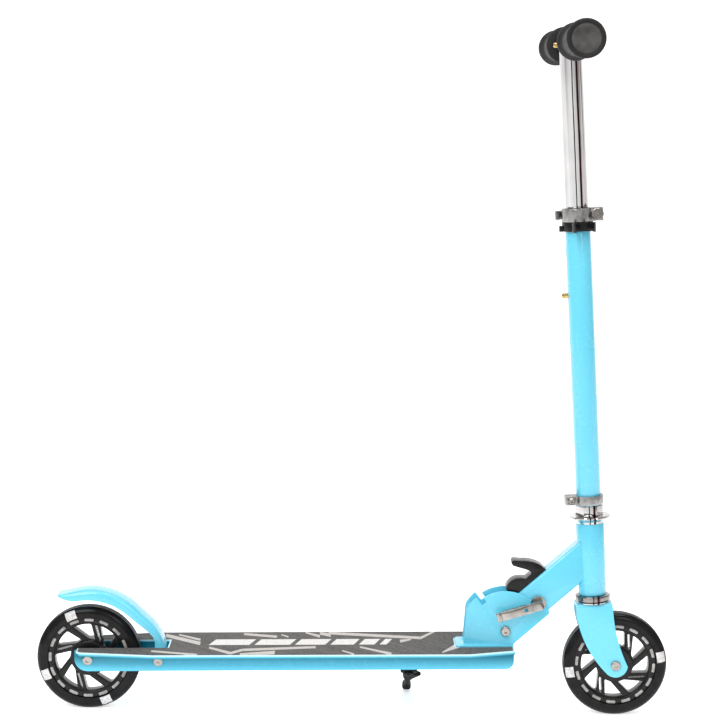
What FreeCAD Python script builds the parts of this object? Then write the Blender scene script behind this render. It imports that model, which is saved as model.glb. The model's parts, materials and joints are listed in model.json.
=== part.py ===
import FreeCAD, Part
import math
import os
import re

import Sketcher

# A child's folding kick scooter, in millimetres.
# World frame: x forward, z up, origin on the ground halfway between the wheels, y = 0 the centre plane.

os.makedirs("parts", exist_ok=True)
doc = FreeCAD.newDocument("KickScooter")

sizes = {
    # wheels
    "wheelBase": 610, "wheelRadius": 60, "tyreWidth": 24, "treadFlat": 13, "shoulderDrop": 7,
    "shoulderBend": 9, "rimDrop": 12.6, "rimTall": 7.4, "rimWidth": 19, "webWidth": 15, "hubRadius": 20.5,
    "hubWidth": 23.4, "spokeSweep": 22, "solidSpoke": 8.5, "splitSpoke": 11, "splitWidth": 2.4,
    "keyDrop": 14.9, "keyLong": 9.6, "keyTall": 2.2, "lightDrop": 11.8, "lightTall": 10.2,
    "lightLong": 12.4, "lightInset": 0.15, "lightCrown": 2.1, "bearingOuter": 11, "bearingBore": 4,
    "bearingWidth": 7, "ringWall": 2, "spacerWall": 2.2, "axleRadius": 3.97, "axleHead": 5.6,
    "axleHeadTall": 2.6, "screwRadius": 2.5, "screwDeep": 12, "runGap": 0.05, "bodyGap": 0.3,
    "rearPhase": 22.4, "frontPhase": 280.5,
    # deck
    "deckTilt": 0.94, "deckHalf": 52, "armHalf": 38, "slotHalf": 17.5, "slotReach": 32, "armEnd": 12,
    "noseHalf": 37, "noseLong": 52, "armFlare": 78, "plateTop": 13.6, "plateThick": 2, "lipDrop": 2.4,
    "lipWide": 1.6, "tapeThick": 0.7, "tapeInset": 2.2, "cornerRound": 9, "sideThick": 2.5,
    "plateBend": 0.8, "channelDrop": 13.2, "channelRear": 15.3, "noseReach": 9.6, "webThick": 2.5,
    "channelHeel": 15, "channelToe": 9,
    # foot brake
    "brakeReach": 21.3, "brakeDrop": 1.7, "brakeBolt": 3, "brakeHalf": 16.5, "brakeSheet": 1.5,
    "brakeRise": 26, "skirtRise": 9.5, "padRise": 7.5, "brakeFoot": 7.6, "brakeHead": 5.3,
    "brakeHeadTall": 2.4, "brakeNutRadius": 5.6, "brakeNutTall": 3.4, "springWire": 0.9, "springPitch": 2.4,
    "springLong": 24,
    # fold bracket and down tube
    "frontReach": 127.8, "pivotHeight": 31.1, "footThick": 2.3, "footHalf": 20.5, "footLong": 57.4,
    "footRound": 4, "cheekThick": 2.3, "tubeWide": 24, "pivotRadius": 3, "pivotHead": 5.7,
    "pivotHeadTall": 3.8, "pivotNutRadius": 6.2, "pivotNutTall": 4.4, "downAngle": 41, "tubeLow": 14.8,
    "tubeHigh": 23, "tubeWall": 2, "tubeRound": 3, "foldAngle": 86, "cheekArc": 47, "stopArc": 52.2,
    "pinRadius": 2.5, "pinFree": 49.8, "pinTravel": 6.5, "washerRadius": 8.7, "washerThick": 1.5,
    "latchNutRadius": 5.4, "latchNutTall": 4.4, "tongueHalf": 5.5, "handleHalf": 9.8, "camRadius": 5.5,
    "camPin": 1.5, "leverHalf": 5, "leverLong": 47, "leverTurn": 155,
    # steering
    "rake": 3.87, "forkOffset": 21.7, "crownGap": 11.5, "crownHalf": 20.8, "forkWide": 26.4,
    "forkThick": 2.5, "forkTab": 14, "headLong": 84, "headRadius": 16.25, "headBore": 14.6, "raceTall": 2.2,
    "lowerCupRadius": 20.2, "upperCupRadius": 23.8, "cupTall": 8.8, "nutTall": 11.2, "nutRadius": 16,
    "steererRadius": 12.7, "steererBore": 10.9, "steererLap": 26, "stemRadius": 14.3, "stemBore": 12.8,
    "stemLong": 340, "stemHoles": 242, "holePitch": 51, "buttonRadius": 3, "buttonHole": 3.4,
    "clampBore": 14.35, "bandRadius": 16.8, "bandTall": 10, "earReach": 27.5, "earHalf": 9, "slitHalf": 0.9,
    "bandBolt": 21, "collarRadius": 17.6, "collarTall": 15, "collarBolt": 21.6, "collarEar": 28.4,
    "collarNut": 7, "wrapGap": 2.4, "wrapThick": 2.6, "clipTall": 10.5, "jawReach": 29, "jawAhead": 4,
    "jawOuter": 13.4,
    # handlebar
    "barRadius": 12.7, "barBore": 11.4, "barLap": 177, "barRise": 185.5, "crossRadius": 11.1,
    "crossBore": 9.7, "crossHalf": 53, "handleRadius": 9.6, "handleBore": 8.1, "handleLap": 8,
    "barHalf": 163, "gripInner": 56, "gripRadius": 21, "gripWaist": 15.8, "handleButton": 40,
    "heightPress": 7, "handlePress": 4,
    # stand
    "standX": 371.4, "standY": 3, "standDrop": 12.4, "standLong": 89, "standFoot": 5.7, "standEye": 9.8,
    "standBar": 3.4, "standBolt": 3, "standTip": 12, "blockHalf": 13, "blockDrop": 16,
}

sheet = doc.addObject("Spreadsheet::Sheet", "Sizes")
for row, (word, value) in enumerate(sizes.items(), 1):
    sheet.set(f"A{row}", word)
    sheet.set(f"B{row}", str(value))
    sheet.setAlias(f"B{row}", word)
doc.recompute()


def bound(formula):
    """The formula with each size's name pointing at its cell."""
    return re.sub(r"[A-Za-z]\w+", lambda m: "Sizes." + m[0] if m[0] in sizes else m[0], str(formula))


def number(formula):
    """The formula's value now."""
    found = sheet.evalExpression(bound(formula))
    return float(getattr(found, "Value", found))


def frame(*steps):
    """A Placement formula of steps (x, y, z) or (x, y, z, axis, angle), each standing in the last one."""
    axes = {"x": "1; 0; 0", "y": "0; 1; 0", "z": "0; 0; 1"}
    made = []
    for step in steps:
        x, y, z, axis, angle = (*step, "z", 0)[:5] if len(step) == 3 else step
        made.append(f"placement(vector({x}; {y}; {z}); rotation(vector({axes[axis]}); {angle}))")
    return " * ".join(made)


# Upright frames have local z up the piece. Side frames have local x, y in the side view and z to the right.
side = (0, 0, 0, "x", 90)
deckStep = ("-wheelBase/2", 0, "wheelRadius", "y", "-deckTilt")
pivotX = "(wheelBase - frontReach)"
pivotWorldX = f"(-wheelBase/2 + {pivotX}*cos(deckTilt) - pivotHeight*sin(deckTilt))"
pivotWorldZ = f"(wheelRadius + {pivotX}*sin(deckTilt) + pivotHeight*cos(deckTilt))"
foldStep = (pivotWorldX, 0, pivotWorldZ, "y", "-(downAngle + deckTilt)")
footX = "(wheelBase/2 - forkOffset*cos(rake))"
footZ = "(wheelRadius - forkOffset*sin(rake))"
steerStep = (footX, 0, footZ, "y", "-rake")
rearHub = frame(("-wheelBase/2", 0, "wheelRadius"), side)
frontHub = frame(("wheelBase/2", 0, "wheelRadius"), side)
# from the pivot along the down tube to the steering axis
tubeReach = f"((({footX} - {pivotWorldX})*cos(rake) + ({footZ} - {pivotWorldZ})*sin(rake))" \
            "/cos(downAngle + deckTilt - rake))"
standHigh = "(wheelRadius - standDrop)"
standStep = ("(-wheelBase/2 + standX)", "standY", standHigh, "x",
             f"-asin(({standHigh} - standFoot)/standLong)/1deg")

kept = []


def place(thing, where):
    thing.setExpression("Placement", bound(where))


def keep(thing, label):
    """Names a sub-part that goes out under its label."""
    thing.Label = label
    kept.append(thing)
    return thing


def helper(thing):
    """Takes a body off the list: it goes into another sub-part."""
    thing.Label = thing.Name + "Base"
    kept.remove(thing)
    return thing


# --- sketches whose corners follow the sheet ---

def plane(body, role):
    return next(f for f in body.Origin.OriginFeatures if f.Role == role)


def hold(sketch, geometry, point, corner):
    """Ties one point of the sketch to the corner's two formulas."""
    for kind, axis, formula in (("DistanceX", -2, corner[0]), ("DistanceY", -1, corner[1])):
        if str(formula) == "0":
            sketch.addConstraint(Sketcher.Constraint("PointOnObject", geometry, point, axis))
        else:
            held = sketch.addConstraint(
                Sketcher.Constraint(kind, -1, 1, geometry, point, number(formula)))
            sketch.setExpression(f"Constraints[{held}]", bound(formula))


def outline(body, *loops, role="XY_Plane"):
    """A sketch of closed loops of corners (x, y) or (x, y, radius). A radius bends the edge to the next
    corner, to the left of travel if it is over 0 and to the right if under."""
    sketch = body.newObject("Sketcher::SketchObject", body.Name + "Outline")
    sketch.AttachmentSupport = [(plane(body, role), "")]
    sketch.MapMode = "FlatFace"
    for corners in loops:
        addLoop(sketch, corners)
    return sketch


def addLoop(sketch, corners):
    spots = [FreeCAD.Vector(number(c[0]), number(c[1]), 0) for c in corners]
    ends = []
    for n, corner in enumerate(corners):
        a, b = spots[n], spots[(n + 1) % len(corners)]
        if len(corner) == 3:
            bend = number(corner[2])
            half = (b - a) * 0.5
            away = math.sqrt(max(bend * bend - half.Length**2, 0))
            left = FreeCAD.Vector(-half.y, half.x, 0).normalize()
            centre = a + half + left * away * (1 if bend > 0 else -1)
            start, stop = (a, b) if bend > 0 else (b, a)
            turn = [math.atan2(p.y - centre.y, p.x - centre.x) for p in (start, stop)]
            circle = Part.Circle(centre, FreeCAD.Vector(0, 0, 1), abs(bend))
            made = sketch.addGeometry(Part.ArcOfCircle(circle, *turn), False)
            ends.append((made, 1, 2) if bend > 0 else (made, 2, 1))
        else:
            ends.append((sketch.addGeometry(Part.LineSegment(a, b), False), 1, 2))
    for n, (made, first, _) in enumerate(ends):
        before, _, last = ends[n - 1]
        sketch.addConstraint(Sketcher.Constraint("Coincident", before, last, made, first))
    for n, (made, first, _) in enumerate(ends):
        hold(sketch, made, first, corners[n])
        if len(corners[n]) == 3:
            held = sketch.addConstraint(
                Sketcher.Constraint("Radius", made, abs(number(corners[n][2]))))
            sketch.setExpression(f"Constraints[{held}]", bound(f"abs({corners[n][2]})"))


def circles(body, rounds, role="XY_Plane"):
    """A sketch of circles, each (x, y, radius)."""
    sketch = body.newObject("Sketcher::SketchObject", body.Name + "Circles")
    sketch.AttachmentSupport = [(plane(body, role), "")]
    sketch.MapMode = "FlatFace"
    for x, y, radius in rounds:
        centre = FreeCAD.Vector(number(x), number(y), 0)
        made = sketch.addGeometry(Part.Circle(centre, FreeCAD.Vector(0, 0, 1), number(radius)), False)
        hold(sketch, made, 3, (x, y))
        held = sketch.addConstraint(Sketcher.Constraint("Radius", made, number(radius)))
        sketch.setExpression(f"Constraints[{held}]", bound(radius))
    return sketch


def newBody(name, where):
    body = doc.addObject("PartDesign::Body", name)
    body.AllowCompound = True
    place(body, where)
    return keep(body, name)


def pad(body, sketch, long, middle=True, back=False):
    made = body.newObject("PartDesign::Pad", body.Name + "Pad")
    made.Profile = sketch
    made.Midplane = middle
    made.Reversed = back
    made.setExpression("Length", bound(long))
    return made


def pocket(body, sketch, long, middle=True, back=False):
    """Cuts the sketch through, and makes sure that it took something away."""
    doc.recompute()
    before = body.Shape.Volume
    made = body.newObject("PartDesign::Pocket", body.Name + "Pocket")
    made.Profile = sketch
    made.Midplane = middle
    made.Reversed = back
    made.setExpression("Length", bound(long))
    doc.recompute()
    if body.Shape.Volume >= before:
        raise RuntimeError(f"{body.Name}: a pocket cut nothing")
    return made


def rounded(body, radius, chosen):
    """Rounds the edges of the body that the test picks."""
    doc.recompute()
    last = body.Tip
    names = [f"Edge{n}" for n, edge in enumerate(last.Shape.Edges, 1) if chosen(edge)]
    made = body.newObject("PartDesign::Fillet", body.Name + "Round")
    made.Base = (last, names)
    made.setExpression("Radius", bound(radius))
    body.Tip = made
    doc.recompute()
    return made


def plate(name, where, corners, long):
    """A body padded both ways from the middle of one outline."""
    body = newBody(name, where)
    pad(body, outline(body, corners), long)
    return body


def repeat(body, feature, sketch, count, angle=360):
    """Repeats a feature evenly round the body's local z, over a full turn or over the angle."""
    made = body.newObject("PartDesign::PolarPattern", body.Name + "Pattern")
    made.Originals = [feature]
    made.Axis = (sketch, ["N_Axis"])
    made.Angle = angle
    made.Occurrences = count
    body.Tip = made
    doc.recompute()


def turned(name, where, *profiles):
    """A body turned about its local z from profiles of (radius, height)."""
    body = newBody(name, where)
    sketch = outline(body, *profiles, role="XZ_Plane")
    made = body.newObject("PartDesign::Revolution", body.Name + "Turn")
    made.Profile = sketch
    made.ReferenceAxis = (sketch, ["V_Axis"])
    made.Angle = 360
    body.Tip = made
    return body


def ring(name, where, bore, outer, low, high):
    return turned(name, where, [(bore, low), (outer, low), (outer, high), (bore, high)])


def along(edge, axis):
    """Is the edge a straight one along the axis?"""
    if not isinstance(edge.Curve, Part.Line):
        return False
    way = edge.tangentAt(edge.FirstParameter)
    return abs(abs(way.dot(axis)) - 1) < 1e-6


def cutBy(name, body, tool):
    """The body less another shape."""
    made = doc.addObject("Part::Cut", name + "Cut")
    made.Base = helper(body)
    made.Tool = tool
    return keep(made, name)


def joined(name, *bodies):
    """Bodies that are made as one piece."""
    made = doc.addObject("Part::MultiFuse", name + "Joined")
    made.Shapes = [helper(body) for body in bodies]
    return keep(made, name)


xWay, yWay, zWay = (FreeCAD.Vector(*v) for v in ((1, 0, 0), (0, 1, 0), (0, 0, 1)))


# --- wheels: urethane tyre on a moulded core, lights set in the tyre ---

coreOuter = "(wheelRadius - rimDrop)"
rimInner = f"({coreOuter} - rimTall)"
shoulder = "(wheelRadius - shoulderDrop)"
openInner = "(hubRadius + 1.2)"
openOuter = f"({rimInner} - 0.8)"
seat = "(hubWidth/2 - bearingWidth - 0.2)"


def polar(radius, angle):
    return f"({radius})*cos({angle})", f"({radius})*sin({angle})"


def spread(wide, radius):
    """Half the angle that a width takes up at the radius, in degrees."""
    return f"asin({wide}/2/{radius})/1deg"


def opening(first, firstWide, second, secondWide):
    """The hole between two swept spokes at the angles."""
    lean = "spokeSweep/2"
    low = polar(openInner, f"{first} - {lean} + {spread(firstWide, openInner)}")
    out = polar(openOuter, f"{first} + {lean} + {spread(firstWide, openOuter)}")
    back = polar(openOuter, f"{second} + {lean} - {spread(secondWide, openOuter)}")
    high = polar(openInner, f"{second} - {lean} - {spread(secondWide, openInner)}")
    return [low, (*out, openOuter), back, (*high, f"-{openInner}")]


def wheel(end, hub, phase):
    where = f"{hub} * {frame((0, 0, 0, 'z', phase))}"
    half = "tyreWidth/2"
    flat = "treadFlat/2"
    tread = [(coreOuter, f"-{half}"), (shoulder, f"-{half}", "shoulderBend"), ("wheelRadius", f"-{flat}"),
             ("wheelRadius", flat, "shoulderBend"), (shoulder, half), (coreOuter, half)]
    tyre = turned(end + "_tyre", where, tread)
    low = "(wheelRadius - lightDrop)"
    high = f"({low} + lightTall)"
    wide = "lightLong/2"
    box = [(f"-{wide}", low), (wide, low), (wide, high), (f"-{wide}", high)]
    corners = [(wide, wide), (wide, "wheelRadius*2"), ("wheelRadius*2", "wheelRadius*2"),
               ("wheelRadius*2", wide)]
    sketch = outline(tyre, box)
    repeat(tyre, pocket(tyre, sketch, "tyreWidth*2"), sketch, 3, 180)
    # three lights fill the pockets, a hair under the tyre's surface: the fourth quarter has none
    under = f"({low} + lightLong^2/{low}/8 + runGap)"
    lights = turned(end + "_lights", where, [
        (under, f"lightInset - {half}"), (shoulder, f"lightInset - {half}", "shoulderBend"),
        (high, f"-{flat} - lightCrown"), (high, f"{flat} + lightCrown", "shoulderBend"),
        (shoulder, f"{half} - lightInset"), (under, f"{half} - lightInset")])
    gap = outline(lights, corners[::-1])
    repeat(lights, pocket(lights, gap, "tyreWidth*2"), gap, 4)
    quarter = [("hubRadius", "-lightLong"), ("wheelRadius*2", "-lightLong"), ("wheelRadius*2", "lightLong"),
               ("hubRadius", "lightLong")]
    pocket(lights, outline(lights, quarter), "tyreWidth*2")

    hubHalf = "hubWidth/2"
    core = turned(end + "_core", where, [
        ("bearingOuter - 2", f"-{seat}"), ("bearingOuter", f"-{seat}"), ("bearingOuter", f"-{hubHalf}"),
        ("hubRadius", f"-{hubHalf}"), ("hubRadius", "-webWidth/2"), (rimInner, "-webWidth/2"),
        (rimInner, "-rimWidth/2"), (coreOuter, "-rimWidth/2"), (coreOuter, "rimWidth/2"),
        (rimInner, "rimWidth/2"), (rimInner, "webWidth/2"), ("hubRadius", "webWidth/2"),
        ("hubRadius", hubHalf), ("bearingOuter", hubHalf), ("bearingOuter", seat),
        ("bearingOuter - 2", seat)])
    slit = [polar(openInner, f"45 - spokeSweep/2 - {spread('splitWidth', openInner)}"),
            polar(openOuter, f"45 + spokeSweep/2 - {spread('splitWidth', openOuter)}"),
            polar(openOuter, f"45 + spokeSweep/2 + {spread('splitWidth', openOuter)}"),
            polar(openInner, f"45 - spokeSweep/2 + {spread('splitWidth', openInner)}")]
    sketch = outline(core, opening(0, "solidSpoke", 45, "splitSpoke"),
                     opening(45, "splitSpoke", 90, "solidSpoke"), slit)
    repeat(core, pocket(core, sketch, "tyreWidth*2"), sketch, 4)
    keyLow = "(wheelRadius - keyDrop - keyTall/2)"
    keyHigh = f"({keyLow} + keyTall)"
    keyBox = [(keyLow, "-keyLong/2"), (keyHigh, "-keyLong/2"), (keyHigh, "keyLong/2"), (keyLow, "keyLong/2")]
    sketch = outline(core, keyBox)
    repeat(core, pocket(core, sketch, "tyreWidth*2"), sketch, 16)
    keys = newBody(end + "_keys", where)
    sketch = outline(keys, keyBox)
    repeat(keys, pad(keys, sketch, "rimWidth + 0.4"), sketch, 16)

    outer = f"({seat} + bearingWidth)"
    races = []
    for sign in ("", "-"):
        near = f"{sign}{seat}"
        far = f"{sign}{outer}"
        dip = f"{sign}({outer} - 0.5)"
        races.append([("bearingBore", near), ("bearingOuter", near), ("bearingOuter", far),
                      ("bearingOuter - ringWall", far), ("bearingOuter - ringWall", dip),
                      ("bearingBore + ringWall", dip), ("bearingBore + ringWall", far),
                      ("bearingBore", far)])
    sleeve = f"({seat} - runGap)"
    races.append([("bearingBore + runGap", f"-{sleeve}"), ("bearingBore + ringWall", f"-{sleeve}"),
                  ("bearingBore + ringWall", sleeve), ("bearingBore + runGap", sleeve)])
    turned(end + "_bearings", where, *races)


wheel("rear", rearHub, "rearPhase")
wheel("front", frontHub, "frontPhase")
bearingFace = f"({seat} + bearingWidth + bodyGap)"


def bolt(name, where, head, headTall, shank, reach, out, bore=None, boreDeep=None):
    """A bolt on its local z: the head's seat at z = out, the shank down to z = -reach."""
    tip = f"-({reach})"
    profile = [(0, tip), (shank, tip), (shank, out), (head, out), (head, f"{out} + {headTall}*0.7"),
               (f"{head} - {headTall}*0.3", f"{out} + {headTall}"),
               (f"{shank}*0.6", f"{out} + {headTall}"), (f"{shank}*0.6", f"{out} + {headTall}*0.4"),
               (0, f"{out} + {headTall}*0.4")]
    if bore:
        profile[:2] = [(0, f"{tip} + {boreDeep}"), (bore, f"{tip} + {boreDeep}"), (bore, tip), (shank, tip)]
    return turned(name, where, profile)


def axle(end, hub, seatAt):
    """The axle, its screw from the left and the two spacers that hold the bearings' inner rings."""
    bolt(end + "_axle", hub, "axleHead", "axleHeadTall", "axleRadius", f"{seatAt} - 1", seatAt,
         "screwRadius", "screwDeep")
    flip = f"{hub} * {frame((0, 0, 0, 'x', 180))}"
    bolt(end + "_axle_screw", flip, "axleHead", "axleHeadTall", "screwRadius", f"8 - {seatAt}", seatAt)


axle("rear", rearHub, "(slotHalf + sideThick)")
axle("front", frontHub, "(forkWide/2 + forkThick)")
for end, hub, wall in (("rear", rearHub, "slotHalf"), ("front", frontHub, "forkWide/2")):
    turned(end + "_axle_spacers", hub, *(
        [("bearingBore", f"{sign}{bearingFace}"), ("bearingBore + spacerWall", f"{sign}{bearingFace}"),
         ("bearingBore + spacerWall", f"{sign}{wall}"), ("bearingBore", f"{sign}{wall}")]
        for sign in ("", "-")))


# --- deck: a folded channel under a wide plate with grip tape on it ---

deckUp = frame(deckStep)
deckSide = frame(deckStep, side)
noseEnd = f"({pivotX} + noseReach)"
noseStart = f"({noseEnd} - noseLong)"
slotEnd = "(wheelRadius + slotReach)"
brakeX = "(wheelRadius + brakeReach)"
underPlate = "(plateTop - plateThick)"


def deckEdge(inset, slot=True, reach="0"):
    """The deck's outline seen from above, drawn in by the inset: two arms each side of the rear slot."""
    edge = [(f"{inset} - armEnd - {reach}", f"{inset} - armHalf"), ("armFlare", f"{inset} - deckHalf"),
            (noseStart, f"{inset} - deckHalf"), (f"{noseEnd} - {inset} + {reach}", f"{inset} - noseHalf")]
    edge += [(x, f"-({y})") for x, y in edge[::-1]]
    if slot:
        wall = f"slotHalf + {inset}"
        edge += [(f"{inset} - armEnd", wall), (f"{slotEnd} + {inset}", wall),
                 (f"{slotEnd} + {inset}", f"-({wall})"), (f"{inset} - armEnd", f"-({wall})")]
    return edge


deckPlate = newBody("deck_plate", frame(deckStep, (0, 0, f"{underPlate} - lipDrop")))
pad(deckPlate, outline(deckPlate, deckEdge("0")), "plateThick + lipDrop", middle=False)
slotWide = number("slotHalf") + 1
rounded(deckPlate, "cornerRound", lambda e: along(e, zWay) and e.CenterOfMass.x < 1 and
        abs(e.CenterOfMass.y) > slotWide)
pocket(deckPlate, outline(deckPlate, deckEdge("lipWide", False, "6")), "lipDrop", middle=False, back=True)
topAt = number("plateThick + lipDrop")
rounded(deckPlate, "plateBend", lambda e: abs(e.CenterOfMass.z - topAt) < 1e-3)

tape = newBody("grip_tape", frame(deckStep, (0, 0, "plateTop")))
pad(tape, outline(tape, deckEdge("tapeInset")), "tapeThick", middle=False)
footEdge = "footHalf + 1.5"
footRear = f"{pivotX} - footLong - 1.5"
pocket(tape, outline(tape, [(footRear, f"-({footEdge})"), (f"{noseEnd} + 9", f"-({footEdge})"),
                            (f"{noseEnd} + 9", footEdge), (footRear, footEdge)]), "tapeThick", False, True)
rounded(tape, "cornerRound - tapeInset", lambda e: along(e, zWay) and e.CenterOfMass.x < 1 and
        abs(e.CenterOfMass.y) > slotWide + number("tapeInset"))

channelHigh = underPlate
channel = plate("deck_channel", deckSide, [
    ("-channelRear", "channelHeel - channelDrop", "channelHeel*1.02"),
    ("channelHeel - channelRear", "-channelDrop"),
    (f"{noseEnd} - channelToe", "-channelDrop + 0.8", "channelToe*1.02"),
    (noseEnd, "channelToe - channelDrop + 0.8"), (noseEnd, channelHigh),
    ("-channelRear", channelHigh)], "(slotHalf + sideThick)*2")
web = f"({channelHigh} - webThick)"
pocket(channel, outline(channel, [
    ("-channelRear*2", "-channelDrop*2"), (f"{noseEnd} + 9", "-channelDrop*2"), (f"{noseEnd} + 9", web),
    (f"{slotEnd} + webThick", web), (f"{slotEnd} + webThick", "channelDrop*2"),
    ("-channelRear*2", "channelDrop*2")]), "slotHalf*2")
pocket(channel, circles(channel, [(0, 0, "axleRadius + runGap"),
                                  (brakeX, "-brakeDrop", "brakeBolt + runGap")]), "channelDrop*6")

bracketFoot = plate("fold_foot", frame(deckStep, (0, 0, "plateTop + footThick/2")), [
    (f"{pivotX} - footLong", "-footHalf"), (noseEnd, "-footHalf"), (noseEnd, "footHalf"),
    (f"{pivotX} - footLong", "footHalf")], "footThick")
rounded(bracketFoot, "footRound", lambda e: along(e, zWay))


def fromPivot(along, across, angle):
    """A point of the fold bracket: along a ray from the pivot at the angle and across it."""
    return (f"({pivotX} + {along}*cos({angle}) - ({across})*sin({angle}))",
            f"(pivotHeight + {along}*sin({angle}) + ({across})*cos({angle}))")


notch = "(pinRadius + bodyGap)"
notchDeep = "(pinFree - pinTravel - pinRadius - bodyGap)"
folded = "(downAngle + foldAngle)"
mouth = f"sqrt(cheekArc^2 - {notch}^2)"
stopMouth = f"sqrt(stopArc^2 - {notch}^2)"
plateRise = "(plateTop + footThick)"
cheeks = plate("fold_cheeks", deckSide, [
    (f"{pivotX} - 48.4", plateRise), (noseEnd, plateRise), fromPivot("54.2", "0", "21.7"),
    fromPivot("55.8", "0", "24.7"), fromPivot("54.9", f"-{notch}", "downAngle"),
    fromPivot(notchDeep, f"-{notch}", "downAngle"), fromPivot(notchDeep, notch, "downAngle"),
    (*fromPivot(mouth, notch, "downAngle"), "cheekArc"), fromPivot(mouth, f"-{notch}", folded),
    fromPivot(notchDeep, f"-{notch}", folded), fromPivot(notchDeep, notch, folded),
    (*fromPivot(stopMouth, notch, folded), "stopArc"), fromPivot("stopArc", "0", "149.3")],
    "tubeWide + bodyGap*2 + cheekThick*2")
pocket(cheeks, outline(cheeks, [
    (f"{pivotX} - 90", "0"), (f"{pivotX} + 90", "0"), (f"{pivotX} + 90", "120"), (f"{pivotX} - 90", "120")]),
    "tubeWide + bodyGap*2")
pocket(cheeks, circles(cheeks, [(pivotX, "pivotHeight", "pivotRadius + runGap")]), "tubeWide*2")

joined("fold_bracket", bracketFoot, cheeks)
cheekOut = "(tubeWide/2 + bodyGap + cheekThick)"
pivotAt = frame(deckStep, (pivotX, 0, "pivotHeight"), side)
bolt("pivot_bolt", pivotAt, "pivotHead", "pivotHeadTall", "pivotRadius",
     f"{cheekOut} + pivotNutTall + 0.2", cheekOut)
pivotNut = newBody("pivot_nut", pivotAt + " * " + frame((0, 0, f"-{cheekOut}")))
hexagon = [polar("pivotNutRadius", 60 * n) for n in range(6)]
pad(pivotNut, outline(pivotNut, hexagon), "pivotNutTall", middle=False, back=True)
pocket(pivotNut, circles(pivotNut, [(0, 0, "pivotRadius")]), "20")


# --- foot brake over the rear wheel ---

arch = "(wheelRadius + brakeRise)"
skirt = "(wheelRadius + skirtRise)"


def ray(radius, angle, shrink="0"):
    """A point of the brake at the angle round the wheel, in from its outer edge."""
    return polar(f"({radius} - {shrink})", angle)


def hood(shrink, skirted):
    """The hood from the tip of its tail over the wheel and down to the pivot."""
    tip = (f"-34.4 + {shrink}", f"{arch} - 8.7 - {shrink}")
    crest = ("2", f"{arch} - {shrink} - 0.1")
    drop = ray(arch, "38.4", shrink)
    toe = (f"{brakeX} + 8.3 - {shrink}", "13.1")
    end = (f"{brakeX} + 8.3 - {shrink}", "6")
    top = [end, (*toe, f"55 - {shrink}"), (*drop, f"{arch} - {shrink}"), crest, tip]
    return top + skirted


brake = plate("brake_hood", deckSide, hood("0", [
    ("-33.1", f"{arch} - 10.4"), ("-24", f"{skirt} - 0.6"), (*ray(skirt, "101.5"), f"-{skirt}"),
    ray(skirt, "53.6"), (f"{brakeX} - 3", "26"), (f"{brakeX} - 0.8", "14.3"),
    (f"{brakeX} - brakeFoot", "1"), (f"{brakeX} - brakeFoot", "-brakeDrop", "brakeFoot"),
    (brakeX, "-brakeDrop - brakeFoot", "brakeFoot"), (f"{brakeX} + brakeFoot", "-brakeDrop")]), "brakeHalf*2")
pocket(brake, outline(brake, hood("brakeSheet", [
    ("-34.4 + brakeSheet", f"{skirt} - 12"), ("0", f"{skirt} - 14"), (f"{brakeX} - 24", "18"),
    (f"{brakeX} - 12", "-20"), (f"{brakeX} + 20", "-20"), (f"{brakeX} + 20", "6")])),
    "(brakeHalf - brakeSheet)*2")
pocket(brake, circles(brake, [(brakeX, "-brakeDrop", "brakeBolt + runGap")]), "brakeHalf*4")
padArch = f"({arch} - brakeSheet - bodyGap)"
plate("brake_pad", deckSide, [
    (*ray(padArch, "58"), padArch), (*ray(padArch, "86"),), (*ray("(wheelRadius + padRise)", "86"),
     "-(wheelRadius + padRise)"), ray("(wheelRadius + padRise)", "58")], "brakeHalf")
brakeAt = frame(deckStep, (brakeX, 0, "-brakeDrop"), side)
bolt("brake_bolt", brakeAt, "brakeHead", "brakeHeadTall", "brakeBolt",
     "slotHalf + sideThick + brakeNutTall + 0.2", "slotHalf + sideThick")
brakeNut = newBody("brake_nut", brakeAt + " * " + frame((0, 0, "-slotHalf - sideThick")))
hexagon = [polar("brakeNutRadius", 60 * n) for n in range(6)]
pad(brakeNut, outline(brakeNut, hexagon), "brakeNutTall", middle=False, back=True)
pocket(brakeNut, circles(brakeNut, [(0, 0, "brakeBolt")]), "20")


def coil(name, where, radius, wire, pitch, long):
    """A helical spring on its local z."""
    spine = doc.addObject("Part::Helix", name + "Spine")
    for field, formula in (("Radius", radius), ("Pitch", pitch), ("Height", long)):
        spine.setExpression(field, bound(formula))
    section = doc.addObject("Part::Circle", name + "Section")
    section.setExpression("Radius", bound(wire))
    place(section, frame((radius, 0, 0, "x", 90)))
    made = doc.addObject("Part::Sweep", name + "Sweep")
    made.Sections = [section]
    made.Spine = (spine, [])
    made.Solid = True
    made.Frenet = True
    place(made, where)
    return keep(made, name)


coil("brake_spring", brakeAt + " * " + frame((0, 0, "-springLong/2")), "brakeBolt + 1.2", "springWire",
     "springPitch", "springLong")


# --- kick stand on a slanted block in the channel ---

standUp = frame(standStep)
block = doc.addObject("Part::Box", "StandBlock")
for field, formula in (("Length", "blockHalf*2"), ("Width", "slotHalf*2"),
                       ("Height", f"{web} + channelDrop + blockDrop")):
    block.setExpression(field, bound(formula))
place(block, frame(deckStep, ("standX - blockHalf", "-slotHalf", "-channelDrop - blockDrop")))
under = doc.addObject("Part::Box", "StandUnder")
for field in ("Length", "Width", "Height"):
    under.setExpression(field, "120")
place(under, standUp + " * " + frame((-60, -60, "standBar + 0.4 - 120")))
shaft = doc.addObject("Part::Cylinder", "StandShaft")
shaft.setExpression("Radius", bound("standBolt"))
shaft.setExpression("Height", "30")
place(shaft, standUp + " * " + frame((0, 0, -10)))
tools = doc.addObject("Part::MultiFuse", "StandTools")
tools.Shapes = [under, shaft]
standBlock = doc.addObject("Part::Cut", "StandCut")
standBlock.Base = block
standBlock.Tool = tools
keep(standBlock, "stand_block")

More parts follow.
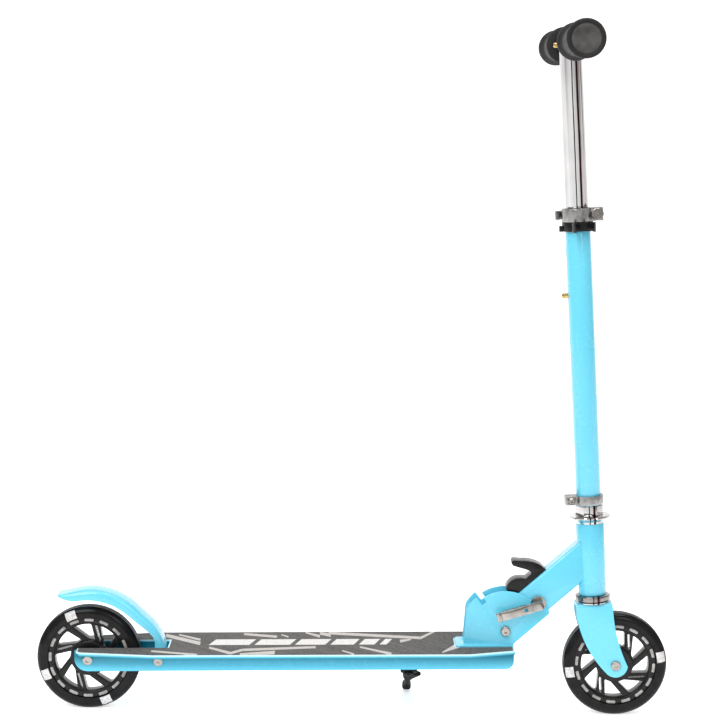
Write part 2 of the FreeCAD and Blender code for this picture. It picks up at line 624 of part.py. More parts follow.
leg = newBody("stand_leg", standUp)
pad(leg, circles(leg, [(0, 0, "standEye")]), "standBar*2")
shank = outline(leg, [("-standBar", "0"), ("standBar", "0"), ("standBar", "standLong - standTip"),
                      ("-standBar", "standLong - standTip")])
pad(leg, shank, "standBar*2")
pocket(leg, circles(leg, [(0, 0, "standBolt + runGap")]), "40")
shankLong = number("standLong - standTip")
rounded(leg, "standBar*0.9", lambda e: along(e, yWay) and e.Length > shankLong / 2)
turned("stand_foot", standUp + " * " + frame((0, "standLong - standTip*2", 0, "x", -90)), [
    (0, "standTip"), ("standBar + bodyGap", "standTip"), ("standBar + bodyGap", "standTip/2"),
    ("standFoot - 0.6", "standTip/2"), ("standFoot", "standTip/2 + 2"),
    ("standFoot", "standTip*2", "standFoot"), (0, "standTip*2 + standFoot")])
bolt("stand_bolt", standUp + " * " + frame((0, 0, 0, "x", 180)), "5.5", "2.4", "standBolt",
     "18", "standBar + bodyGap")


# --- down tube, head tube and headset ---

foldUp = frame(foldStep)
foldSide = frame(foldStep, side)
steerUp = frame(steerStep)
crown = "(wheelRadius + crownGap)"
headLow = f"({crown} + forkThick + raceTall + bodyGap + 7)"
headHigh = f"({headLow} + headLong)"
nutLow = f"({headHigh} + cupTall + bodyGap)"
nutHigh = f"({nutLow} + nutTall)"
stemLow = f"({nutHigh} + 1)"
stemTop = f"({stemLow} + stemLong)"

tubeBase = plate("down_tube", foldSide, [
    (0, "-tubeLow"), (tubeReach, "-tubeLow"), (tubeReach, "tubeHigh"), (5, "tubeHigh"),
    ("-tubeLow + 0.5", 3.4), ("-tubeLow", 0, "tubeLow")], "tubeWide")
pocket(tubeBase, outline(tubeBase, [
    (20, "-tubeLow + tubeWall"), (f"{tubeReach} + 30", "-tubeLow + tubeWall"),
    (f"{tubeReach} + 30", "tubeHigh - tubeWall"), (20, "tubeHigh - tubeWall")]), "tubeWide - tubeWall*2")
pinLow = f"(pinFree - pinTravel - {notch})"
pinHigh = f"(pinFree + {notch})"
pocket(tubeBase, outline(tubeBase, [
    (pinLow, f"-{notch}"), (pinHigh, f"-{notch}"), (pinHigh, notch), (pinLow, notch)]), "tubeWide*2")
pocket(tubeBase, circles(tubeBase, [(0, 0, "pivotRadius + runGap")]), "tubeWide*2")
windowLow = "(pinFree - pinTravel - tongueHalf - 0.5)"
windowHigh = "(pinFree + tongueHalf + 0.5)"
pocket(tubeBase, outline(tubeBase, [
    (windowLow, "tubeHigh - tubeWall*2"), (windowHigh, "tubeHigh - tubeWall*2"),
    (windowHigh, "tubeHigh + 9"), (windowLow, "tubeHigh + 9")]), "9")
tubeSide = number("tubeWide/2")
rounded(tubeBase, "tubeRound", lambda e: along(e, xWay) and e.Length > tubeSide * 4 and
        abs(abs(e.CenterOfMass.z) - tubeSide) < 0.1)
cope = doc.addObject("Part::Cylinder", "HeadCope")
cope.setExpression("Radius", bound("headRadius"))
cope.setExpression("Height", bound("headLong*3"))
place(cope, frame(steerStep, (0, 0, f"{headLow} - headLong")))
cutBy("down_tube", tubeBase, cope)

ring("head_tube", steerUp, "headBore", "headRadius", headLow, headHigh)
turned("lower_cup", steerUp, [
    ("steererRadius + 0.6", f"{headLow} - 4"), ("lowerCupRadius - 3", f"{headLow} - 4"),
    ("lowerCupRadius - 2.4", f"{headLow} - 7"), ("lowerCupRadius - 0.6", f"{headLow} - 7"),
    ("lowerCupRadius", f"{headLow} - 6"), ("lowerCupRadius", f"{headLow} - 1"),
    ("headRadius + 1", headLow), ("headBore", headLow), ("headBore", f"{headLow} + 9"),
    ("steererRadius + 0.6", f"{headLow} + 9")])
turned("upper_cup", steerUp, [
    ("steererRadius + 0.6", f"{headHigh} - 9"), ("headBore", f"{headHigh} - 9"), ("headBore", headHigh),
    ("headRadius", headHigh), ("headRadius + 2", f"{headHigh} + 3"),
    ("upperCupRadius - 1", f"{headHigh} + 6"),
    ("upperCupRadius", f"{headHigh} + 7"), ("upperCupRadius", f"{headHigh} + cupTall - 1"),
    ("upperCupRadius - 1", f"{headHigh} + cupTall"), ("steererRadius + 0.6", f"{headHigh} + cupTall")])


# --- fold latch: clamp bar and pull handle that slide along the down tube, with a cam lever ---

pinSide = frame(foldStep, ("pinFree", 0, 0), side)
outWasher = f"({cheekOut} + bodyGap)"
outFace = f"({outWasher} + washerThick)"
camAt = f"({outFace} + bodyGap + camRadius)"
barSide = f"{pinSide} * {frame((0, 0, 0, 'z', 'leverTurn'))}"
latchBar = turned("latch_bar", barSide, [
    (0, f"-{outFace} - 6"), ("pinRadius - 0.6", f"-{outFace} - 6"), ("pinRadius", f"-{outFace} - 5"),
    ("pinRadius", f"{camAt} + 3"), (0, f"{camAt} + 3")])
pocket(latchBar, circles(latchBar, [(0, camAt, "camPin + runGap")], "XZ_Plane"), "pinRadius*4")
turned("latch_washers", pinSide, *(
    [("pinRadius", f"{sign}{outWasher}"), ("washerRadius", f"{sign}{outWasher}"),
     ("washerRadius", f"{sign}{outFace}"), ("pinRadius", f"{sign}{outFace}")] for sign in ("", "-")))
latchNut = newBody("latch_nut", pinSide + " * " + frame((0, 0, f"-{outFace}")))
hexagon = [polar("latchNutRadius", 60 * n) for n in range(6)]
pad(latchNut, outline(latchNut, hexagon), "latchNutTall", middle=False, back=True)
pocket(latchNut, circles(latchNut, [(0, 0, "pinRadius")]), "20")

base = "tubeHigh + bodyGap"
handle = plate("latch_handle", pinSide, [
    (-16.8, base), (32.2, base), (31.4, "tubeHigh + 7", "40"), (17.2, "tubeHigh + 26.6"),
    (12.2, "tubeHigh + 31.8", "3.4"), (7.2, "tubeHigh + 32.2"), (6.6, "tubeHigh + 28.6"),
    (12.2, "tubeHigh + 19.5", -30), (17.2, "tubeHigh + 10.4", -3), (15.2, "tubeHigh + 7.6"),
    (7.7, "tubeHigh + 7.6"), (3.7, "tubeHigh + 11.6"), (-0.8, "tubeHigh + 14.9", 16),
    (-14.3, "tubeHigh + 15.2", 5), (-17.8, "tubeHigh + 9")], "handleHalf*2")
pad(handle, outline(handle, [
    ("-tongueHalf", -6), ("tongueHalf", -6), ("tongueHalf", f"{base} + 2"),
    ("-tongueHalf", f"{base} + 2")]), "8")
pocket(handle, circles(handle, [(0, 0, "pinRadius")]), "handleHalf*3")

leverAt = frame(foldStep, ("pinFree", 0, 0, "y", "-leverTurn"))
cam = f"-{camAt}"
face = f"(-{camAt} - camRadius)"
lever = plate("latch_strip", leverAt, [
    (0, face), (11, face), (19, f"{face} + 3.4"), ("leverLong - 9", f"{face} + 3.4"), ("leverLong", face),
    ("leverLong + 0.6", f"{face} + 2.4"), ("leverLong - 8", f"{face} + 5.9"), (17, f"{face} + 5.9"),
    (10, f"{face} + 3"), ("camRadius", cam, "camRadius"), (0, f"{cam} + camRadius", "camRadius"),
    ("-camRadius", cam, "camRadius")], "leverHalf*2")
eyeSlot = [("-camRadius - 2", f"{cam} - 4.4"), ("camRadius + 0.1", f"{cam} - 4.4"),
           ("camRadius + 0.1", f"{cam} + 9"), ("-camRadius - 2", f"{cam} + 9")]
pocket(lever, outline(lever, eyeSlot), "pinRadius*2 + bodyGap*2")
leverPin = turned("latch_pin", leverAt + " * " + frame((0, cam, 0)), [
    (0, "-leverHalf"), ("camPin", "-leverHalf"), ("camPin", "leverHalf"), (0, "leverHalf")])
joined("latch_lever", lever, leverPin)


# --- fork, steering tube and its clamps ---

fork = plate("fork", frame(steerStep, side), [
    ("-crownHalf", f"{crown} + forkThick"), ("-crownHalf + 0.1", "wheelRadius", 128),
    ("forkOffset + forkTab*cos(218)", "forkTab*sin(218)", "forkTab"),
    ("forkOffset + forkTab*cos(-8)", "forkTab*sin(-8)", -188), ("crownHalf + 0.7", "wheelRadius"),
    ("crownHalf", f"{crown} + forkThick")], "forkWide + forkThick*2")
pocket(fork, outline(fork, [
    ("-crownHalf*3", "-wheelRadius"), ("crownHalf*3", "-wheelRadius"), ("crownHalf*3", crown),
    ("-crownHalf*3", crown)]), "forkWide")
pocket(fork, circles(fork, [("forkOffset", 0, "axleRadius + runGap")]), "forkWide*3")
forkTop = number(f"{crown} + forkThick")
rounded(fork, "forkThick + 1", lambda e: along(e, xWay) and abs(e.CenterOfMass.y - forkTop) < 1e-3)
pocket(fork, circles(fork, [(0, 0, "steererRadius + runGap")], "XZ_Plane"), "forkTab*20")

steererTop = f"({stemLow} + steererLap)"
ring("steerer", steerUp, "steererBore", "steererRadius", f"{crown} - 2", steererTop)
turned("crown_race", steerUp, [
    ("steererRadius", f"{crown} + forkThick"), ("lowerCupRadius - 1", f"{crown} + forkThick"),
    ("lowerCupRadius - 1", f"{crown} + forkThick + 1.2"),
    ("lowerCupRadius - 2.5", f"{crown} + forkThick + raceTall"),
    ("steererRadius", f"{crown} + forkThick + raceTall")])
nut = newBody("headset_nut", frame(steerStep, (0, 0, nutLow)))
pad(nut, outline(nut, [polar("nutRadius", 60 * n) for n in range(6)]), "nutTall", middle=False)
pocket(nut, circles(nut, [(0, 0, "steererRadius")]), "nutTall", middle=False, back=True)
stem = ring("steering_tube", steerUp, "stemBore", "stemRadius", stemLow, stemTop)
holes = [f"({stemLow} + stemHoles + {n}*holePitch)" for n in (-1, 0, 1)]
pocket(stem, circles(stem, [(0, height, "buttonHole") for height in holes], "YZ_Plane"),
       "stemRadius*2", middle=False)
slot = [(-1, f"{stemTop} - 22"), (1, f"{stemTop} - 22"), (1, f"{stemTop} + 5"), (-1, f"{stemTop} + 5")]
pocket(stem, outline(stem, slot, role="YZ_Plane"), "stemRadius*2", middle=False, back=True)


def clamp(name, low, tall, outer, corners, slit, boltAt):
    """A split band round the steering tube with ears: corners of the ears, the slit and the bolt's place."""
    band = newBody(name, frame(steerStep, (0, 0, low)))
    pad(band, circles(band, [(0, 0, outer)]), tall, middle=False)
    pad(band, outline(band, corners), tall, middle=False)
    pocket(band, circles(band, [(0, 0, "clampBore")]), tall, middle=False, back=True)
    pocket(band, outline(band, slit), tall, middle=False, back=True)
    pocket(band, circles(band, [(boltAt, f"{tall}/2", "pinRadius + runGap")], "XZ_Plane"), "earHalf*4")
    return band


def bar(low, high, half):
    """A rectangle from low to high and the half width each side."""
    return [(low, f"-{half}"), (high, f"-{half}"), (high, half), (low, half)]


bandLow = f"({stemLow} + 1)"
clamp("lower_clamp", bandLow, "bandTall", "bandRadius", bar("-earReach", "-13", "earHalf"),
      bar("-earReach - 3", "-8", "slitHalf"), "-bandBolt")
bandSide = frame(steerStep, ("-bandBolt", 0, f"{bandLow} + bandTall/2"), side)
bolt("lower_clamp_bolt", bandSide, "4.4", "4.2", "pinRadius", "earHalf - 0.5", "earHalf")
collarLow = f"({stemTop} - collarTall + 1)"
clamp("upper_clamp", collarLow, "collarTall", "collarRadius", bar("13", "collarEar", "earHalf"),
      bar("8", "collarEar + 3", "slitHalf"), "collarBolt")
collarAt = frame(steerStep, ("collarBolt", 0, f"{collarLow} + collarTall/2"))
collarSide = collarAt + " * " + frame(side)
camOut = "(earHalf + bodyGap + camRadius)"
clampBar = turned("upper_clamp_bolt", collarSide, [
    (0, f"-{camOut} - 3"), ("pinRadius", f"-{camOut} - 3"), ("pinRadius", "earHalf + 5"),
    (0, "earHalf + 5")])
pocket(clampBar, circles(clampBar, [(0, f"-{camOut}", "camPin + runGap")], "XZ_Plane"), "pinRadius*4")
turned("upper_clamp_nut", collarSide, [
    ("pinRadius", "earHalf"), ("collarNut", "earHalf"), ("collarNut", "earHalf + 4.4"),
    ("collarNut - 0.8", "earHalf + 5.2"), ("pinRadius", "earHalf + 5.2")])
clampLever = newBody("clamp_strip", collarAt)
wrapIn = "(collarRadius + wrapGap)"
wrapOut = "(collarRadius + wrapGap + wrapThick)"


def wrapped(radius, angle):
    """A point round the steering tube, seen from the clamp bolt."""
    x, y = polar(radius, angle)
    return f"{x} - collarBolt", y


pad(clampLever, outline(clampLever, [
    (5, camOut, "camRadius"), (0, f"{camOut} + camRadius"), (*wrapped(f"{wrapOut} + 1.4", 62), wrapOut),
    (*wrapped(wrapOut, 120), wrapOut), wrapped(wrapOut, 166), wrapped(f"{wrapOut} + 2.5", 170),
    wrapped(f"{wrapOut} + 0.4", 174), (*wrapped(wrapIn, 166), f"-{wrapIn}"),
    (*wrapped(wrapIn, 100), f"-{wrapIn}"), wrapped(wrapIn, 58), ("-camRadius", camOut, "camRadius"),
    (0, f"{camOut} - camRadius", "camRadius")]), "leverHalf*2")
pocket(clampLever, outline(clampLever, [
    (-6, 0), (7, 0), (7, f"{camOut} + 4"), (-6, f"{camOut} + 4")]), "pinRadius*2 + bodyGap*2")
clampPin = turned("clamp_pin", collarAt + " * " + frame((0, camOut, 0)), [
    (0, "-leverHalf"), ("camPin", "-leverHalf"), ("camPin", "leverHalf"), (0, "leverHalf")])
joined("clamp_lever", clampLever, clampPin)

clipLow = f"({collarLow} - clipTall - bodyGap)"
clip = newBody("grip_clip", frame(steerStep, (0, 0, clipLow)))
pad(clip, circles(clip, [(0, 0, "collarRadius")]), "clipTall", middle=False)
pad(clip, circles(clip, [("jawAhead", "-jawReach", "jawOuter"), ("jawAhead", "jawReach", "jawOuter")]),
    "clipTall", middle=False)
pad(clip, outline(clip, bar("-21", "-12", "4")), "6.5", middle=False)
pocket(clip, circles(clip, [(0, 0, "clampBore"), ("jawAhead", "-jawReach", "crossRadius"),
                            ("jawAhead", "jawReach", "crossRadius")]), "clipTall", middle=False, back=True)
mouths = [[("jawAhead - 9", f"{sign}(jawReach + 4)"), ("jawAhead + 9", f"{sign}(jawReach + 4)"),
           ("jawAhead + 12", f"{sign}(jawReach + 24)"), ("jawAhead - 12", f"{sign}(jawReach + 24)")]
          for sign in ("", "-")]
pocket(clip, outline(clip, *mouths), "clipTall", middle=False, back=True)


# --- T bar, handles and press buttons ---

barTop = f"({stemTop} + barRise)"
crossUp = frame(steerStep, (0, 0, barTop))
tBar = newBody("t_bar", crossUp)
barLong = "(barRise + barLap)"
pad(tBar, circles(tBar, [(0, 0, "barRadius")]), barLong, middle=False, back=True)
pad(tBar, circles(tBar, [(0, 0, "crossRadius")], "XZ_Plane"), "crossHalf*2")
pocket(tBar, circles(tBar, [(0, 0, "barBore")]), f"{barLong} + 2", middle=False)
pocket(tBar, circles(tBar, [(0, 0, "crossBore")], "XZ_Plane"), "crossHalf*2 + 2")
pocket(tBar, circles(tBar, [(0, f"{holes[1]} - {barTop}", "buttonHole"), ("handleButton", 0, "buttonHole"),
                            ("-handleButton", 0, "buttonHole")], "YZ_Plane"), "barRadius*2", middle=False)


def button(name, where, low, high):
    """A round press button on its local z with a domed end."""
    return turned(name, where, [(0, low), ("buttonRadius", low), ("buttonRadius", f"{high} - 1.4"),
                                ("buttonRadius - 1.2", high), (0, high)])


backward = (0, 0, 0, "y", -90)
button("height_button", frame(steerStep, (0, 0, holes[1]), backward), "8", "stemRadius + heightPress")
for hand, turn in (("right", 90), ("left", -90)):
    out = f"{crossUp} * {frame((0, 0, 0, 'x', turn))}"
    tube = ring(hand + "_handle_tube", out, "handleBore", "handleRadius", "handleLap", "barHalf - 5")
    pocket(tube, circles(tube, [(0, "handleButton", "buttonHole")], "YZ_Plane"), "barRadius*2",
           middle=False)
    turned(hand + "_grip", out, [
        ("handleRadius + runGap", "gripInner"), ("gripRadius - 2", "gripInner"),
        ("gripRadius", "gripInner + 2"),
        ("gripRadius", "gripInner + 5", "-9"), ("gripWaist + 0.4", "gripInner + 13", 190),
        ("gripWaist", "barHalf - 16", "-9"), ("gripRadius", "barHalf - 7"), ("gripRadius", "barHalf - 2"),
        ("gripRadius - 2", "barHalf"), ("handleRadius - 2", "barHalf"), ("handleRadius - 2.6", "barHalf - 3"),
        (0, "barHalf - 3"), (0, "barHalf - 5"), ("handleRadius + runGap", "barHalf - 5")])
    button(hand + "_button", out + " * " + frame((0, 0, "handleButton"), backward), "6.5",
           "crossRadius + handlePress")


# --- every sub-part is checked and written out ---

doc.recompute()
for thing in doc.Objects:
    if {"Invalid", "Error"} & set(thing.State):
        raise RuntimeError(f"{thing.Name}: {thing.State}")
for thing in kept:
    if thing.Shape.isNull() or not thing.Shape.isValid():
        raise RuntimeError(f"{thing.Label}: its shape isn't valid")
for thing in kept:
    thing.Shape.exportStep(f"parts/{thing.Label}.step")
print(len(kept), "sub-parts")
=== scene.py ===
import json
import math

import bpy
import bmesh
import numpy as np
from mathutils import Matrix, Vector
from mathutils.geometry import tessellate_polygon


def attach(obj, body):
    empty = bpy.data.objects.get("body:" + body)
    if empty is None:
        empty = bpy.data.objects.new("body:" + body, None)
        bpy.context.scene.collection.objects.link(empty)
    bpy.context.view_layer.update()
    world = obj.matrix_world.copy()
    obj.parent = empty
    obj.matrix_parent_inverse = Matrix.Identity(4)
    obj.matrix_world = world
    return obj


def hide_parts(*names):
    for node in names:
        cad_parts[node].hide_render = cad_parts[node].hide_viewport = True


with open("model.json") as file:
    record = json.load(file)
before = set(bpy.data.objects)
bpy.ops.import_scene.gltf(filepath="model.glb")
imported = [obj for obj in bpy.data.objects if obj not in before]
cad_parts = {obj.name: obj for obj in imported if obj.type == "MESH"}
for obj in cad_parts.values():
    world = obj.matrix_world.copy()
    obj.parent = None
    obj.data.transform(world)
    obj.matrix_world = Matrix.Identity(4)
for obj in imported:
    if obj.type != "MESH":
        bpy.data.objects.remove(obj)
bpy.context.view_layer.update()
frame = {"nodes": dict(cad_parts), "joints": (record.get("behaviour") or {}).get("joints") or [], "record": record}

nodes = frame["nodes"]
joints = {joint["name"]: joint for joint in frame["joints"]}
print("frame loaded:", len(nodes), "nodes")


# materials: a small class that turns Python maths on sockets into nodes

class Wire:
    # one output socket of a material
    def __init__(self, finish, socket):
        self.finish = finish
        self.socket = socket

    def sum(self, operation, *values):
        return self.finish.node("ShaderNodeMath", {"operation": operation}, dict(enumerate(values)))

    def __add__(self, other):
        return self.sum("ADD", self, other)

    def __sub__(self, other):
        return self.sum("SUBTRACT", self, other)

    def __rsub__(self, other):
        return self.sum("SUBTRACT", other, self)

    def __mul__(self, other):
        return self.sum("MULTIPLY", self, other)

    __radd__ = __add__
    __rmul__ = __mul__

    def near(self, low, high, outLow=0.0, outHigh=1.0):
        # straight from low to high, level outside them
        return self.finish.node("ShaderNodeMapRange", {"clamp": True},
                                {"Value": self, "From Min": low, "From Max": high, "To Min": outLow,
                                 "To Max": outHigh})

    def atLeast(self, other):
        return self.sum("MAXIMUM", self, other)


class Finish:
    # one material: fixed values go straight to the shader's sockets
    def __init__(self, name, colour, **fixed):
        self.material = bpy.data.materials.new(name)
        self.material.use_nodes = True
        self.tree = self.material.node_tree
        self.shader = self.tree.nodes["Principled BSDF"]
        self.shader.inputs["Base Color"].default_value = (*colour, 1)
        for word, value in fixed.items():
            self.shader.inputs[word.replace("_", " ")].default_value = value
        self.place = self.node("ShaderNodeTexCoord", out="Object")

    def node(self, kind, settings=None, values=None, out=0):
        made = self.tree.nodes.new(kind)
        for key, value in (settings or {}).items():
            setattr(made, key, value)
        for key, value in (values or {}).items():
            if isinstance(value, Wire):
                self.tree.links.new(value.socket, made.inputs[key])
            else:
                made.inputs[key].default_value = value
        return Wire(self, made.outputs[out])

    def noise(self, scale, detail=2.0, rough=0.5, where=None):
        # soft clouds about 1 / scale of a metre across, their values about 0.5
        values = {"Vector": where or self.place, "Scale": scale, "Detail": detail, "Roughness": rough}
        return self.node("ShaderNodeTexNoise", {}, values, "Fac")

    def cells(self, scale, out="Distance"):
        # scattered cells: the distance from each one's centre, or a colour of its own
        return self.node("ShaderNodeTexVoronoi", {}, {"Vector": self.place, "Scale": scale}, out)

    def mix(self, factor, first, second):
        # colours: first where the factor is 0, second where it is 1
        ends = [value if isinstance(value, Wire) else (*value, 1) for value in (first, second)]
        return self.node("ShaderNodeMix", {"data_type": "RGBA"}, {0: factor, 6: ends[0], 7: ends[1]}, 2)

    def axes(self, where=None):
        # the three parts of a position or a colour
        made = self.node("ShaderNodeSeparateXYZ", {}, {0: where or self.place})
        parts = made.socket.node.outputs
        return [Wire(self, parts[n]) for n in range(3)]

    def turned(self, angle, axis, scale):
        # the object's coordinates turned about the axis and stretched
        spun = self.node("ShaderNodeVectorRotate", {"rotation_type": "AXIS_ANGLE"},
                         {"Vector": self.place, "Axis": axis, "Angle": angle})
        return self.node("ShaderNodeVectorMath", {"operation": "MULTIPLY"}, {0: spun, 1: scale})

    def bump(self, height, distance, strength):
        return self.node("ShaderNodeBump", {}, {"Height": height, "Distance": distance, "Strength": strength})

    def give(self, **links):
        # links the wires to the shader's inputs
        for word, wire in links.items():
            self.tree.links.new(wire.socket, self.shader.inputs[word.replace("_", " ")])
        return self.material


# the deck's line starts at the rear axle. The steering axis leans back and passes axleAhead (m) behind the front
# axle's x and z; the bar's line crosses it barReach (mm) up
deckOrigin = Vector(joints["rear_wheel_spin"]["pos_m"])
deckTilt = math.radians(0.94)
rake = math.radians(3.87)
frontAxle, axleAhead, barReach = (0.305, 0.06), 0.0217, 714.3
steerOrigin = (frontAxle[0] - axleAhead * math.cos(rake), 0, frontAxle[1] - axleAhead * math.sin(rake))
gripMiddle = (steerOrigin[0] - barReach / 1000 * math.sin(rake),
              steerOrigin[2] + barReach / 1000 * math.cos(rake))


def bluePaint(name="bluePaint", shaded=None):
    # stoved gloss enamel: slow drift of tone, orange peel about 1.5 mm across, fine dust nibs. Under the deck's lip
    # the channel and the plate get painted shade, deeper in tone, and the plate's top edge a painted highlight, paler:
    # height above the axle line = z cos t - x sin t
    # lip is the colour of the painted shade under the deck's lip, edge the colour of the painted highlight
    look = {"tone": (0.150, 0.660, 0.860), "deep": (0.135, 0.640, 0.845), "light": (0.230, 0.730, 0.900),
            "lip": (0.004, 0.180, 0.260), "edge": (0.66, 0.90, 0.96), "peel": 620, "nibs": 2600}
    p = Finish(name, look["tone"], Roughness=0.3, Coat_Weight=0.15 if shaded else 0.6, Coat_Roughness=0.05,
               IOR=1.5, Specular_IOR_Level=0.25 if shaded else 0.5)
    colour = p.mix(p.noise(5, 2, 0.5).near(0.3, 0.7), look["deep"], look["tone"])
    nibs = p.noise(look["nibs"], 1, 0.4)
    colour = p.mix(nibs.near(0.66, 0.80, 0.0, 0.2), colour, look["light"])
    if shaded:
        x, y, z = p.axes()
        height = (z - deckOrigin.z) * math.cos(deckTilt) - (x - deckOrigin.x) * math.sin(deckTilt)
        if shaded == "channel":
            # painted shade: the channel's sides darken towards the lip
            colour = p.mix(height.near(-0.0105, 0.0040), colour, look["lip"])
        else:
            # painted shade on the plate's lower edge, and a painted highlight on its top edge
            colour = p.mix(height.near(0.0094, 0.0118), look["lip"], colour)
            colour = p.mix(height.near(0.0119, 0.0128), colour, look["edge"])
    rough = p.noise(60, 4, 0.6).near(0.3, 0.7, 0.24, 0.29)
    peel = p.bump(p.noise(look["peel"], 2, 0.5), 0.00004, 0.25)
    return p.give(Base_Color=colour, Roughness=rough, Normal=peel)


def gritTape():
    # silicon carbide grains in dark resin, printed with broad angular stripes. A stripe is (x0, low0, high0, x1,
    # low1, high1) and lies between two straight edges: low = low0 + (x - x0) slope, high likewise. A bar is a
    # slanted block: x + lean y between two values, y between two values
    look = {"dark": (0.060, 0.057, 0.055), "shade": (0.125, 0.120, 0.115), "grain": (0.230, 0.222, 0.214),
            "stripe": (0.640, 0.600, 0.570), "bar": (0.860, 0.840, 0.815), "grains": 1300}
    p = Finish("gritTape", look["dark"], Roughness=0.85, Specular_IOR_Level=0.3)
    x, y, _ = p.axes()
    soft, spread = 0.0005, 0.0009

    def between(value, low, high):
        return (value - low).near(-soft, soft) * (value - high).near(-soft, soft, 1, 0)

    def stripe(x0, low0, high0, x1, low1, high1):
        run = x - x0
        low = run * ((low1 - low0) / (x1 - x0)) + (low0 - spread)
        high = run * ((high1 - high0) / (x1 - x0)) + (high0 + spread)
        return between(x, x0, x1) * between(y, low, high)

    stripes = [
        (-0.2045, 0.0365, 0.0404, -0.1776, 0.0115, 0.0192),
        (-0.2198, 0.0301, 0.0419, -0.1765, -0.0077, 0.0050),
        (-0.2303, -0.0370, -0.0314, -0.1766, -0.0535, -0.0474),
        (-0.1650, -0.0229, -0.0166, -0.1389, -0.0491, -0.0393),
        (-0.1389, -0.0491, -0.0393, -0.1257, -0.0345, -0.0258),
        (-0.1257, -0.0345, -0.0258, -0.0422, -0.0231, -0.0156),
        (-0.1279, -0.0517, -0.0456, -0.0884, -0.0485, -0.0350),
        (-0.1279, 0.0368, 0.0447, -0.0886, 0.0233, 0.0324),
        (-0.0837, 0.0350, 0.0389, -0.0750, 0.0244, 0.0296),
        (-0.0553, 0.0438, 0.0491, -0.0381, 0.0239, 0.0344),
        (-0.0383, 0.0377, 0.0482, -0.0255, 0.0270, 0.0415),
        (-0.0282, 0.0389, 0.0494, 0.0795, 0.0154, 0.0257),
        (0.0795, 0.0141, 0.0244, 0.0984, 0.0492, 0.0558),
        (0.0557, 0.0003, 0.0118, 0.0684, 0.0116, 0.0155),
        (0.0089, -0.0219, -0.0169, 0.0447, -0.0544, -0.0446),
        (-0.0116, -0.0365, -0.0328, 0.0023, -0.0527, -0.0478),
        (0.1026, -0.0453, -0.0429, 0.1236, -0.0220, 0.0007),
    ]
    mask = None
    for corners in stripes:
        made = stripe(*corners)
        mask = made if mask is None else mask.atLeast(made)
    lean = -0.28
    bars = None
    for first, last in ((-0.164, -0.117), (-0.111, -0.070), (-0.064, -0.029), (-0.023, 0.004), (0.010, 0.028),
                        (0.034, 0.042)):
        made = between(x + y * lean, first, last)
        bars = made if bars is None else bars.atLeast(made)
    bars = bars * between(y, -0.0085, 0.0165)
    # worn brush marks in the resin: wide on the rear half, slanting up to the front beside the bracket
    streak = p.noise(60, 3, 0.6, p.turned(0.9, (0, 0, 1), (0.12, 2.2, 1))).near(0.42, 0.62)
    base = p.mix(streak * 0.6, look["dark"], look["shade"])
    grainTone = p.axes(p.cells(look["grains"], out="Color"))[0]
    base = p.mix(grainTone.near(0.2, 1.0, 0.0, 0.8), base, look["grain"])
    worn = p.noise(420, 3, 0.7).near(0.30, 0.50, 0.65, 1)
    colour = p.mix(mask * worn, base, look["stripe"])
    colour = p.mix(bars * worn, colour, look["bar"])
    height = p.cells(look["grains"]).near(0.0, 0.7, 1, 0) + p.noise(3200, 2, 0.6) * 0.5
    return p.give(Base_Color=colour, Roughness=grainTone.near(0, 1, 0.7, 0.95),
                  Normal=p.bump(height, 0.0004, 0.8))


def chrome(name="chrome", bright=(0.66, 0.65, 0.645), soft=(0.52, 0.515, 0.51)):
    # bright plate: a soft haze in places, and painted reflections: the dark lines that a studio leaves along a round
    # tube and a darker band beyond them. They lie at set distances ahead of the steering axis: u = (x - x0) cos r +
    # (z - z0) sin r
    p = Finish(name, bright, Metallic=1.0, Roughness=0.07)
    x, y, z = p.axes()
    u = (x - steerOrigin[0]) * math.cos(rake) + (z - steerOrigin[2]) * math.sin(rake)
    wave = p.noise(60, 3, 0.6, p.turned(0, (0, 1, 0), (1, 1, 0.25))) * 0.0016 - 0.0008
    u = u + wave

    def band(low, high, blur):
        return u.near(low - blur, low + blur) * u.near(high - blur, high + blur, 1, 0)

    # painted reflections: a thin and a broad dark line and a darker band along the tube
    thin = band(-0.0018, -0.0005, 0.0002)
    broad = band(0.0032, 0.0058, 0.0003)
    edge = u.near(0.0066, 0.0076) * 0.5
    haze = p.noise(22, 4, 0.65).near(0.35, 0.75, 0.03, 0.08)
    tone = p.mix(p.noise(14, 2, 0.5).near(0.4, 0.7), bright, soft)
    tone = p.mix(edge, tone, (0.36, 0.34, 0.33))
    tone = p.mix(broad, tone, (0.035, 0.008, 0.010))
    tone = p.mix(thin, tone, (0.02, 0.02, 0.02))
    return p.give(Base_Color=tone, Roughness=haze)


def castAlloy():
    # tumbled die casting: dull silver with small pits and a lighter rubbed skin
    p = Finish("castAlloy", (0.60, 0.61, 0.63), Metallic=1.0, Roughness=0.34)
    skin = p.noise(240, 5, 0.62)
    pits = p.cells(1300).near(0.0, 0.22, 1, 0)
    tone = p.mix(skin.near(0.35, 0.68), (0.28, 0.27, 0.265), (0.50, 0.49, 0.48))
    return p.give(Base_Color=p.mix(pits * 0.5, tone, (0.30, 0.30, 0.31)), Roughness=skin.near(0.3, 0.7, 0.24, 0.46),
                  Normal=p.bump(skin + pits * -0.6, 0.0001, 0.5))


def zincSteel():
    # zinc-plated steel: cloudy tone with darker stains, and short brushed scratches
    p = Finish("zincSteel", (0.60, 0.60, 0.61), Metallic=1.0, Roughness=0.26)
    brush = p.noise(700, 3, 0.6, p.turned(0.3, (0, 1, 0), (0.06, 1, 1)))
    cloud = p.noise(90, 4, 0.6)
    tone = p.mix(cloud.near(0.35, 0.65), (0.34, 0.315, 0.29), (0.46, 0.43, 0.40))
    return p.give(Base_Color=p.mix(brush.near(0.55, 0.8, 0, 0.4), tone, (0.50, 0.47, 0.44)),
                  Roughness=brush.near(0.3, 0.7, 0.16, 0.36), Normal=p.bump(brush, 0.00005, 0.35))


